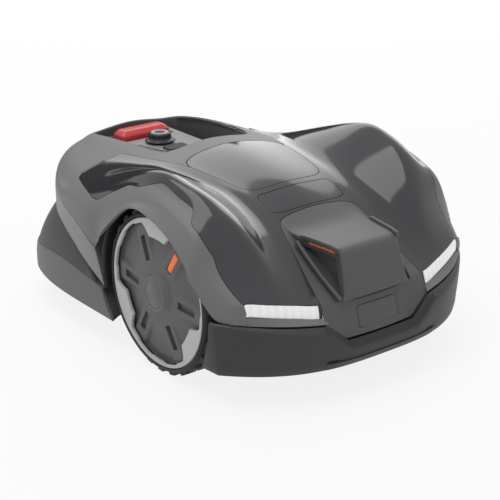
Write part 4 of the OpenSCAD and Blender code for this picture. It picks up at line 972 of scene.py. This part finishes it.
def lamp_band(start, end, turn, top, foot, push, crown, d):
    """Crowned strip hung below the hood's edge between two drops, its height closing by an ellipse over the last
    'turn' rail counts, with a flat back 'push' mm behind."""
    v = np.concatenate([np.linspace(start, end - turn, 60),
                        end - turn + turn * np.sin(np.linspace(0, np.pi / 2, 16))[1:]])
    e, n = lamp_line(v)
    close = np.sqrt(np.clip(1 - (np.maximum(v - end + turn, 0) / turn / 1.01) ** 2, 0, 1))
    drop = (top + foot) / 2 + (d - 0.5)[None] * (foot - top) * close[:, None]
    lean = mix(1.2, lamp_lean(v)[:, None], (drop - 0.3) / 16.0)
    swell = crown * (1 - (2 * d - 1) ** 2)[None] * close[:, None]
    front = e[:, None] + n[:, None] * (lean + swell - push[0])[..., None] - UP * drop[..., None]
    back = e[:, None] + n[:, None] * (lean - push[1])[..., None] - UP * drop[..., None]
    return capped(np.concatenate([front, back[:, ::-1]], 1)[:, ::-1])


def lens_parts():
    """Left lens: a crowned strip with a blunt outer end."""
    rows = np.array([0, 0.04, 0.2, 0.5, 0.8, 0.96, 1])
    return [lamp_band(1.08, 4.06, 0.13, 0.9, LENS_FOOT, (0.0, 2.2), 1.0, rows)]


def bezel_parts():
    """Left bezel: a dark flat strip just behind the lens and a little wider than it all round."""
    return [lamp_band(0.985, 4.13, 0.16, -0.2, LENS_FOOT + 1.4, (0.9, 3.0), 0.0, np.array([0.0, 1.0]))]


for side, turn in SIDES:
    for word, make, coat, node, slot in (("lens", lens_parts, LAMP, "lens", "lamp_white"),
                                         ("bezel", bezel_parts, BEZEL, "housing", "window_black")):
        piece(f"{side}_lamp_{word}", [turn(p) for p in make()], "outer_body", coat, (f"{side}_headlight_{node}",))

piece("grey_top", both(*rear_parts(), *opening_parts(), *panel_parts()), "outer_body", MATTE,
      ("rear_cover", "right_side_panel", "left_side_panel"), wall=1.6, round_w=0.45, sharp=55)

# ---------------------------------------------------------------- nose

# Profile of the sensor hump, from its rear edge over the top and down its front: (y, z, half width)
HUMP = np.array([(-172, 196.6, 60), (-178, 193.4, 60.4), (-184, 190.4, 60.8), (-190, 187.9, 60.6),
                 (-197, 185.8, 59.8), (-204, 184.5, 58.4), (-211, 184.0, 56.8), (-240, 183.3, 52.5),
                 (-258, 182.6, 50.2), (-266, 181.2, 49), (-271.5, 177.5, 48.6), (-275, 171, 48.6),
                 (-280, 157, 49.6), (-284.6, 142, 51.2), (-287.4, 132.5, 52.6), (-289.2, 126.5, 54),
                 (-290.2, 122, 56.5)], float)


def hump_edge(y):
    """Half width and height of the hump's side edge at y."""
    return [np.interp(y, HUMP[::-1, 0], HUMP[::-1, k]) for k in (2, 1)]


def nose_sheet_parts():
    """Half of the nose's base: the body's surface with a rounded upper end, then the lower face down to the
    bumper's notch with a shallow rectangular seat pressed into it."""
    w = 1 - GAP / SPINE_MM
    a = np.unique(np.concatenate([shares(41), [0.385, 0.40, 0.42, 0.636]]))[None]
    top = shares(46)[1:, None]
    q = squeeze(a, top, NOSE_TOP["n"][1])
    v1, y1 = pane_place(NOSE_TOP, a * q, top * q)
    y1 = NOSE_TOP["mid"] + (y1 - NOSE_TOP["mid"]) * (1 - GAP / NOSE_TOP["half"])
    yb = span(FRONT, NOSE_TOP["mid"], 3)[:, None]
    upper = np.concatenate([body(w * a, yb), body(v1 * w, y1)])
    t = np.unique(np.concatenate([shares(25), [0.1, 0.14, 0.83, 0.87]]))[::-1][:-1, None]
    head = upper[0][None]
    x = (a[0] * 0.985 * NOTCH_OUT)[None]
    foot = np.stack([x, -299.5 + 8 * a * a, bumper_edge(x) + 1.4], -1)
    lower = mix(head, foot, t[..., None])
    seat = ease((0.42 - a) / 0.03) * ease((t - 0.1) / 0.045) * ease((0.87 - t) / 0.045)
    lower = lower + seat[..., None] * np.array([0, 1.9, 0.6])
    return [sheet(np.concatenate([lower, upper]))]


def hump_parts():
    """Sensor hump: its profile carried across from edge to edge with rounded borders, its rear end sagging at the
    sides like the surface it leaves, and flanges that turn back along the inward normal on both sides."""
    s = np.concatenate([[0], np.cumsum(np.hypot(*np.diff(HUMP[:, :2], axis=0).T))])
    q = curve(np.column_stack([s, HUMP]), np.linspace(0, s[-1], 110))
    d = unit(np.gradient(q[:, :2], axis=0))
    inward = np.stack([0 * d[:, 0], -d[:, 1], d[:, 0]], -1)
    inward = np.where((inward[:, 2] > 0)[:, None], -inward, inward)
    r = 3.2
    arc = np.linspace(0, np.pi / 2, 7)
    half_x = np.concatenate([(q[:, 2:3] - r) * shares(15)[None, :-1],
                             q[:, 2:3] + (r * np.sin(arc) - r)[None]], 1)
    depth = np.concatenate([np.zeros(14), r - r * np.cos(arc)])
    crown = 1.2 * (1 - (half_x / q[:, 2:3]) ** 2)
    P = np.stack(np.broadcast_arrays(half_x, q[:, :1], q[:, 1:2]), -1)
    P = P + inward[:, None] * (depth[None] - crown * 0.6)[..., None]
    P[..., 2] -= 4.0 * (half_x / 67) ** 2 * ease((q[:, :1] + 207) / 32)
    wall, shift = np.array([1.0, 3.0, 6.0, 9.0]), np.array([0.0, -0.1, -0.3, -0.8])
    W = P[:, -1:] + inward[:, None] * wall[None, :, None] + np.array([1.0, 0, 0]) * shift[None, :, None]
    P = np.concatenate([P, W, W[:, -1:] + np.array([-9.0, 0, 0])], 1)
    return [flip(sheet(P))]


def pocket_parts():
    """Dark block inside the hump, set 8 mm in from its edges, that shows in the pockets at its sides; it ends 10 mm
    under the nose's surface."""
    q = HUMP[6:-1].copy()
    t = shares(len(q))
    top = np.stack([q[:, 2] - 8, q[:, 0] + 5 * (t > 0.45), q[:, 1] - 3 - 1.5 * (t < 0.45)], -1)
    low = top.copy()
    low[:, 1] = np.maximum(top[:, 1], -282)
    low[:, 2] = np.minimum(top[:, 2], curve(CENTRE, low[:, 1])[:, 1] - 10)
    return [sheet(mix(top[:, None], low[:, None], shares(6)[None, :, None]))]


def fin_parts():
    """Left fin on the hump's top edge: a rounded bar that swells from its rear end and is cut square in front."""
    t = shares(24)
    y = mix(-207.0, -271.5, t)
    w, z = hump_edge(y)
    z = np.maximum(z, mix(184.2, 181.2, t))
    swell = np.maximum(np.sqrt(np.clip(t / 0.12, 0, 1)), 0.15)
    return [bar(np.stack([w + 0.8, y, z + 0.6], -1), 4.6 * swell, 6.6 * swell, 0.6)]


def amber_parts():
    """Left amber strip under the fin: a slim rounded bar."""
    t = shares(16)
    y = mix(-222.0, -263.0, t)
    w, z = hump_edge(y)
    return [bar(np.stack([w + 0.2, y, z - 4.8], -1), 2.6, 3.0, 0.5)]


def rib_parts():
    """Left rib: a bar that runs from the rear of the fin down the nose's side to the foot of the front face."""
    t = shares(30)[:, None]
    path = mix(np.array([64.0, -207, 178]), np.array([60.0, -287.5, 124]), t)
    path[:, 0] += 2.0 * np.sin(np.pi * t[:, 0])
    return [bar(path, 5.0, 6.0, 0.7, ups=(0, -0.55, 0.83))]


def window_parts():
    """Plain plate in the lower nose's seat: a rounded pane that follows the seat's slope."""
    s = np.linspace(-1, 1, 33)
    a, b = np.meshgrid(s, s)
    k = squeeze(a, b, 9)
    a, b = a * k, b * k
    mid, down = np.array([0, -294.0, 96.0]), np.array([0, 12.5, 42.1]) / np.hypot(12.5, 42.1)
    out = np.array([0, -down[2], down[1]])
    P = mid + a[..., None] * [33.5, 0, 0] + b[..., None] * down * 14.8
    P[..., 1] += 8 * (a * 33.5 / NOTCH_OUT) ** 2
    edge = np.clip((np.maximum(np.abs(a), np.abs(b)) - 0.93) / 0.07, 0, 1)
    P = P - out * (1.25 + 0.8 * edge ** 2)[..., None]
    return [sheet(P)]


piece("nose_sheet", both(*nose_sheet_parts()), "outer_body", NOSE, ("nose_cover",),
      wall=1.8, round_w=0.4)
piece("sensor_hump", both(*hump_parts()), "outer_body", NOSE, (), sharp=60)
piece("hump_core", both(*pocket_parts()), "outer_body", WALL, ())
piece("nose_fins", both(*fin_parts()), "outer_body", NOSE, ())
piece("nose_ribs", both(*rib_parts()), "outer_body", NOSE, ())
piece("nose_ambers", both(*amber_parts()), "outer_body", AMBER, ("amber_strips",))
piece("nose_plate", window_parts(), "outer_body", NOSE, ("nose_window",), wall=0.6)

# ---------------------------------------------------------------- control recess

DECK_Z, TRAY_FOOT = 204.0, 149.0
STOP_Y, KNOB_Y, KNOB_Z = 237.0, 188.0, 206.5


def gutter_parts():
    """Dark tray under the gap round the control tray's rear: a shallow dish with a raised border."""
    q = squircle(96, 8)
    rows = [np.column_stack([np.array([0, 243.0]) + q * (wide, deep), np.full(len(q), z)]) for wide, deep, z in (
        (50, 16, 150.6), (76, 31, 150.6), (77.4, 32.4, 152.6), (78, 33, 152.6), (77, 32, 149.4), (50, 16, 149.4))]
    return [sheet(np.stack(rows + rows[:1]), wrap=True)]


def recess_parts():
    """Wall of the control recess: the opening's outline carried down from the rim, with a rolled top edge."""
    q = squircle(240, OPENING["n"][0])
    rim = body(*pane_place(OPENING, q[:, 0], q[:, 1]))
    inw = np.stack([q[:, 0], q[:, 1] * 0.75, 0 * q[:, 0]], -1)
    rows = [rim - inw * i - UP * d for i, d in ((0.6, 3.6), (0.5, 1.6), (1.0, 1.2), (1.8, 1.8))]
    for i, share in ((2.35, 0.35), (2.7, 0.7), (3.0, 1.0), (1.4, 1.0)):
        p = rim - inw * i
        p[:, 2] = mix(rim[:, 2] - 3, DECK_Z - 18, share)
        rows.append(p)
    return [sheet(np.stack(rows + rows[:1]), wrap=True)]


def tray_parts():
    """Control tray: a rolled-edge deck with the stop bar's pocket pressed into it and a skirt below."""
    hx, y0, y1 = 58.0, 72.0, 260.0
    px, p0, p1, deep = 46.0, STOP_Y - 19, STOP_Y + 19, 9.5
    x = np.unique(np.concatenate([np.linspace(0, px - 0.5, 20), [px + 0.5, 52, 55, 56.2, 57.2, hx]]))
    x = np.concatenate([-x[:0:-1], x])[None]
    y = np.unique(np.concatenate([[y0, 72.8, 73.8, 75.2], np.linspace(78, p0 - 0.5, 30),
                                  np.linspace(p0 + 0.5, p1 - 0.5, 12), [p1 + 0.5, 257, 258.2, 259.2, y1]]))[:, None]
    ex = np.minimum(hx - np.abs(x), np.minimum(y - y0, y1 - y))
    r = 3.0
    roll = r - np.sqrt(np.maximum(0, r * r - np.maximum(0, r - ex) ** 2))
    pocket = ((np.abs(x) < px) & (y > p0) & (y < p1)) * deep
    top = np.stack(np.broadcast_arrays(x, y, DECK_Z - roll - pocket), -1)
    ring = np.concatenate([top[0, :], top[1:, -1], top[-1, -2::-1], top[-2:0:-1, 0]])
    low = ring.copy()
    low[:, 2] = TRAY_FOOT
    return [sheet(top), sheet(np.stack([low, ring]), wrap=True)]


def knob_parts():
    """Knob: a flared skirt, a ribbed grip and a domed rim, turned about a vertical axis."""
    grip = [(0.01, 0), (21.6, 0), (22, 0.4), (21.8, 1.4), (19.5, 2.6), (17.4, 3.4), (16.8, 4.2), (16.6, 9.4),
            (16.2, 11.2), (15.0, 12.4), (13.4, 12.9), (0.01, 12.9)]

    def ribs(th, h, r):
        """24 flutes along the grip and 12 soft lobes round the skirt."""
        rib = -0.55 * ease(0.5 + 0.9 * np.cos(th * 24)) * ((h > 3.3) & (h < 12.0))
        return (rib + 0.5 * np.cos(th * 12) * ((h > 0.3) & (h < 2.5))) * (r > 10)
    return [flip(turned(grip, (0, KNOB_Y, KNOB_Z), 288, ribs, upright=True))]


def dial_parts():
    """Pale ring on the knob's top: a shallow crowned washer with a sunk middle."""
    prof = [(13.2, 12.7), (13.0, 13.0), (8.2, 13.0), (7.6, 12.6), (0.01, 12.6)]
    return [flip(turned(prof, (0, KNOB_Y, KNOB_Z), upright=True))]


STOP_STEPS = [(1.0, 0), (0.3, 0.8), (0, 2), (0.5, 10.0), (1.2, 11.2), (5.8, 16.0), (6.8, 16.6), (8.6, 16.9), (13, 17.0)]
TILE_STEPS = [(0.3, 0), (0, 0.4), (0, 2.2), (0.4, 2.8), (1.2, 3.0), (6, 3.0)]
piece("recess_skirt", recess_parts(), "outer_body", WALL, ("recess_wall",))
piece("control_tray", tray_parts(), "chassis", TRAY, ("control_deck",), sharp=32)
piece("tray_gutter", gutter_parts(), "chassis", CHASSIS, ())
piece("stop_bar_cap", [slab((86, 32), (0, STOP_Y, 200), STOP_STEPS, 8)], "stop_bar", RED, ("stop_button",),
      sharp=50)
piece("knob_grip", knob_parts(), "dial", KNOB, ("knob",), sharp=50)
piece("knob_dial", dial_parts(), "dial", PALE, ())
piece("status_tile", [slab((36, 22), (2, 149, DECK_Z), TILE_STEPS, 8)], "chassis", TILE_BLACK_AND_SHADE, ("status_window",),
      sharp=50)

# ---------------------------------------------------------------- drive wheels

OUT_X, FACE_X = 210.0, 204.0  # the tyre's outer side and the hub cover's face
BLOCKS, BLOCK_HIGH, TREAD_MID = 26, 3.95, -23.0
SLOTS = np.radians(3 + 60 * np.arange(6))
MARKED_SLOT = np.radians(123)


def tyre_parts():
    """Tyre: rounded shoulders and a tread whose blocks stand 4 mm up, left and right halves half a pitch apart."""
    phi = np.linspace(0, 2 * np.pi, BLOCKS * 14, endpoint=False)[None]
    prof = np.array([(94.2, -40), (97, -44), (100, -45.6), (103, -45.2), (105.2, -43), (106, -40.6), (106, -40.4),
                     (106, -23.4), (106, -23.0), (106, -22.6), (106, -5.6), (106, -5.4), (105, -3), (103.4, -1.2),
                     (102, -0.3), (101.0, 0.0), (100.6, -0.6), (100.5, -6.4), (94.2, -6.6)])
    r, x = prof[:, :1], prof[:, 1:]
    half = np.where(x < TREAD_MID, 0.0, 0.5)
    block = ease(0.5 + 2.2 * (np.cos(phi * BLOCKS + 2 * np.pi * half) - 0.05))
    on = ((x < -5.45) & (x > -40.5) & (np.abs(x - TREAD_MID) > 0.2)) * (r > 105)
    return [sheet(wheel_grid(x + OUT_X, r + BLOCK_HIGH * block * on, phi), wrap=True)]


def hub_parts():
    """Hub cover: a shallow dish with six raised spokes, a straight-sided slot sunk in each, and facets between
    them that fall towards the rim; columns run parallel to each spoke, rows run round the axle."""
    r = np.unique(np.concatenate([[22, 26, 30], np.linspace(34, 43.6, 5), [44.0], np.linspace(46, 74, 13),
                                  [76, 76.4], np.linspace(78, 94, 9)]))[:, None]
    s = np.array([0, 2.5, 4.9, 5.3, 8, 11, 12.5, 14, 15.5, 17, 20, 26, 36, 60.0])
    f = shares(len(s))
    lim = r * np.pi / 6
    cols = np.minimum(s[None], lim * f[None] ** 0.8)
    cols[:, -1:] = lim
    cols = np.concatenate([-cols[:, :0:-1], cols], 1)
    d = np.abs(cols)
    spoke = ease((15.5 - d) / 4.0)
    dish = 3.2 * ease((r - 24) / 70)
    sink = 5.0 * ease((r - 34) / 44) * (1 - spoke)
    slot = 4.6 * ((d < 5.0) & (r > 43.8) & (r < 76.2))
    rim = 2.4 * ease((r - 88) / 4)
    x = FACE_X + 2.6 - dish - sink * 0.8 - slot - rim * spoke * 0.6
    face = [sheet(wheel_grid(x, r, c + cols / r).transpose(1, 0, 2)) for c in SLOTS]
    rings = [[(94.0, -36.0), (94.0, 0.5)], [(89.0, -2.0), (89.0, -36.0), (94.0, -36.0)],
             [(17, -36.0), (18, -35.0), (18, -10.0), (30, -9.0), (60, -9.5), (88.9, -10.0)], [(17, -36), (6.1, -36)]]
    return face + [turned(p, (FACE_X - 2, AXLE_Y, AXLE_Z), 180) for p in rings]


def ring_parts():
    """Light ring on the wheel's face: a flat band whose inner edge steps in to three broad patches."""
    phi = np.linspace(0, 2 * np.pi, 720, endpoint=False)
    from_patch = (np.degrees(phi) - 92 + 60) % 120 - 60
    inner = np.interp(np.abs(from_patch), [0, 12.5, 17.5, 21, 31, 34, 50, 54, 60],
                      [74, 74.5, 87, 92.6, 93, 95, 95.2, 93.4, 93.4])
    outer = 99.4
    rows = [(inner, 0), (inner, 3.2), (inner + 0.8, 4.0), (outer - 0.9, 4.0), (outer, 3.1), (outer, 0), (inner, 0)]
    return [sheet(np.stack([wheel_grid(FACE_X + 0.3 + h, r, phi) for r, h in rows]), wrap=True)]


def cap_parts():
    """Hub boss: a cone with a rounded shoulder, a shallow groove and a bare flat face."""
    prof = [(31, -1.0), (31, 0.2), (30, 1.2), (28.6, 1.8), (24.2, 7.4), (23.3, 8.4), (22.0, 8.9), (20.0, 8.9),
            (19.4, 8.3), (18.4, 8.3), (17.8, 8.8), (0.01, 9.0)]
    return [turned(prof, (FACE_X, AXLE_Y, AXLE_Z), 120)]


def marker_parts():
    """Orange insert: a bevelled block standing in the slot in front of and above the axle."""
    q = squircle(64, 10)
    c, s = np.cos(MARKED_SLOT), np.sin(MARKED_SLOT)
    rows = []
    for inset, h in ((0.3, -3.0), (0.3, 0.4), (1.2, 1.4), (3.0, 1.4)):
        out, across = 60 + q[:, 0] * (15.8 - inset), q[:, 1] * (4.9 - inset)
        rows.append(np.stack([np.full(len(q), FACE_X + h), AXLE_Y + (out * c - across * s),
                              AXLE_Z + (out * s + across * c)], -1))
    return [capped(np.stack(rows))]


WHEEL_PIECES = (("tread", tyre_parts, RUBBER, "tyre", "tyre_rubber", 40),
                ("hub_cover", hub_parts, HUB, "rim", "hub_dark", 32),
                ("trim_ring", ring_parts, RING, "ring", "ring_silver", 30),
                ("boss", cap_parts, CAP, "hub_cap", "hub_dark", 40),
                # the insert's finish glows a little: painted glow
                ("insert", marker_parts, ORANGE_WITH_GLOW, "marker", "marker_orange", 30))
for side, turn in SIDES:
    for word, make, coat, node, slot, sharp in WHEEL_PIECES:
        piece(f"{side}_{word}", [turn(p) for p in make()], side + "_wheel", coat, (f"{side}_{node}",),
              sharp=sharp)

# ---------------------------------------------------------------- carried-over CAD nodes

KEPT = {
    CARRIER: ["body_shell", "shell_mounts"],
    CHASSIS: ["chassis_tub", "chassis_lid", "cutter_carriage", "skid_plate", "sensor_posts"],
    MOTOR: ["right_gearmotor", "left_gearmotor", "cutter_motor", "height_motor"],
    STEEL: ["axle_bearings", "right_axle", "left_axle", "right_caster_pin", "left_caster_pin", "height_screw",
            "blade_screws", "knob_stem"],
    BRASS: ["caster_bushes"],
    BOARD: ["main_board"],
    PACK: ["battery"],
    ROLLER: ["right_caster_wheel", "left_caster_wheel"],
    SKIRT: ["right_caster_fork", "left_caster_fork"],
    BLADE: ["blade_1", "blade_2", "blade_3"],
    HUB: ["blade_disc"],
}
for coat, names in KEPT.items():
    for name in names:
        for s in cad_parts[name].material_slots:
            s.material = coat

# ---------------------------------------------------------------- studio

FLOOR_SEEN = 0.85  # share of its own white that the floor shows to camera and mirror rays
PLAIN_LIGHT = 0.43  # the world's strength for plain light; it is 1 to camera and mirror rays


def seen_rays(tree):
    """Socket that is 1 for camera, mirror and transmission rays."""
    path, calc = tree.nodes.new("ShaderNodeLightPath").outputs, adder(tree)
    return calc("MAXIMUM", path["Is Camera Ray"], calc("MAXIMUM", path["Is Glossy Ray"], path["Is Transmission Ray"]))


def stage_card(name, corners, colour):
    """Flat rough card of the stage."""
    m = bpy.data.materials.new(name)
    m.use_nodes = True
    bsdf = m.node_tree.nodes["Principled BSDF"]
    bsdf.inputs["Base Color"].default_value = (*colour, 1)
    bsdf.inputs["Roughness"].default_value = 0.9
    mesh = bpy.data.meshes.new(name)
    mesh.from_pydata(corners, [], [(0, 1, 2, 3)])
    mesh.materials.append(m)
    obj = bpy.data.objects.new(name, mesh)
    bpy.context.scene.collection.objects.link(obj)
    return obj, m.node_tree, bsdf


def light_panel(name, at, aim, size, radiance):
    """Area lamp that faces aim; its power gives the asked radiance over its whole face."""
    lamp = bpy.data.lights.new(name, "AREA")
    lamp.shape = "RECTANGLE"
    lamp.size, lamp.size_y = size
    lamp.energy = radiance * math.pi * size[0] * size[1]
    obj = bpy.data.objects.new(name, lamp)
    obj.location = at
    obj.rotation_euler = (Vector(aim) - Vector(at)).to_track_quat("-Z", "Y").to_euler()
    obj.visible_camera = False
    bpy.context.scene.collection.objects.link(obj)


def studio():
    """White room: world white to camera and mirror rays, softer for plain light; a pale floor that keeps the
    shadow; a dark card seen only in mirrors on the far side; a broad panel overhead and a low wide one behind."""
    world = bpy.data.worlds.new("studio_world")
    bpy.context.scene.world = world
    world.use_nodes = True
    tree, calc = world.node_tree, adder(world.node_tree)
    back = tree.nodes["Background"]
    back.inputs["Color"].default_value = (1, 1, 1, 1)
    seen = calc("MULTIPLY", seen_rays(tree), 1 - PLAIN_LIGHT)
    feed(tree, calc("ADD", seen, PLAIN_LIGHT), back.inputs["Strength"])

    _, tree, bsdf = stage_card("studio_floor", [(-9, -9, 0), (9, -9, 0), (9, 9, 0), (-9, 9, 0)], (0.9, 0.9, 0.9))
    glow = tree.nodes.new("ShaderNodeEmission")
    glow.inputs["Color"].default_value = (1, 1, 1, 1)
    join = tree.nodes.new("ShaderNodeMixShader")
    feed(tree, adder(tree)("MULTIPLY", seen_rays(tree), FLOOR_SEEN), join.inputs[0])
    feed(tree, bsdf.outputs[0], join.inputs[1])
    feed(tree, glow.outputs[0], join.inputs[2])
    feed(tree, join.outputs[0], tree.nodes["Material Output"].inputs["Surface"])

    corners = [(-0.5, 1.5, 0.02), (1.1, 1.3, 0.02), (1.1, 1.3, 0.75), (-0.5, 1.5, 0.75)]
    card, _, _ = stage_card("studio_flag", corners, (0.02, 0.02, 0.022))
    card.visible_camera = card.visible_diffuse = card.visible_shadow = False
    light_panel("overhead_panel", (-0.5, 0.15, 2.1), (0, 0, 0.1), (1.6, 1.6), 2.5)
    light_panel("rear_panel", (1.6, 2.0, 1.3), (0, 0, 0.2), (4.0, 2.2), 1.4)
    bpy.context.scene.view_settings.view_transform = "Standard"


def photo_camera():
    """Camera at the photograph's viewing angle: 38.1 degrees round to the right, 21.3 degrees up."""
    a, e = math.radians(-38.1), math.radians(21.3)
    back = Vector((math.sin(a) * math.cos(e), -math.cos(a) * math.cos(e), math.sin(e)))
    right = Vector((math.cos(a), math.sin(a), 0))
    up = back.cross(right)
    cam = bpy.data.cameras.new("photo_camera")
    cam.sensor_fit = "HORIZONTAL"
    cam.sensor_width = 36
    cam.lens = 98.06
    cam.clip_end = 60
    o = bpy.data.objects.new("photo_camera", cam)
    m = Matrix((right, up, back)).transposed().to_4x4()
    m.translation = Vector((-1.09918, -1.43167, 0.79184))
    o.matrix_world = m
    bpy.context.scene.collection.objects.link(o)
    bpy.context.scene.camera = o


studio()
photo_camera()
bpy.context.view_layer.update()
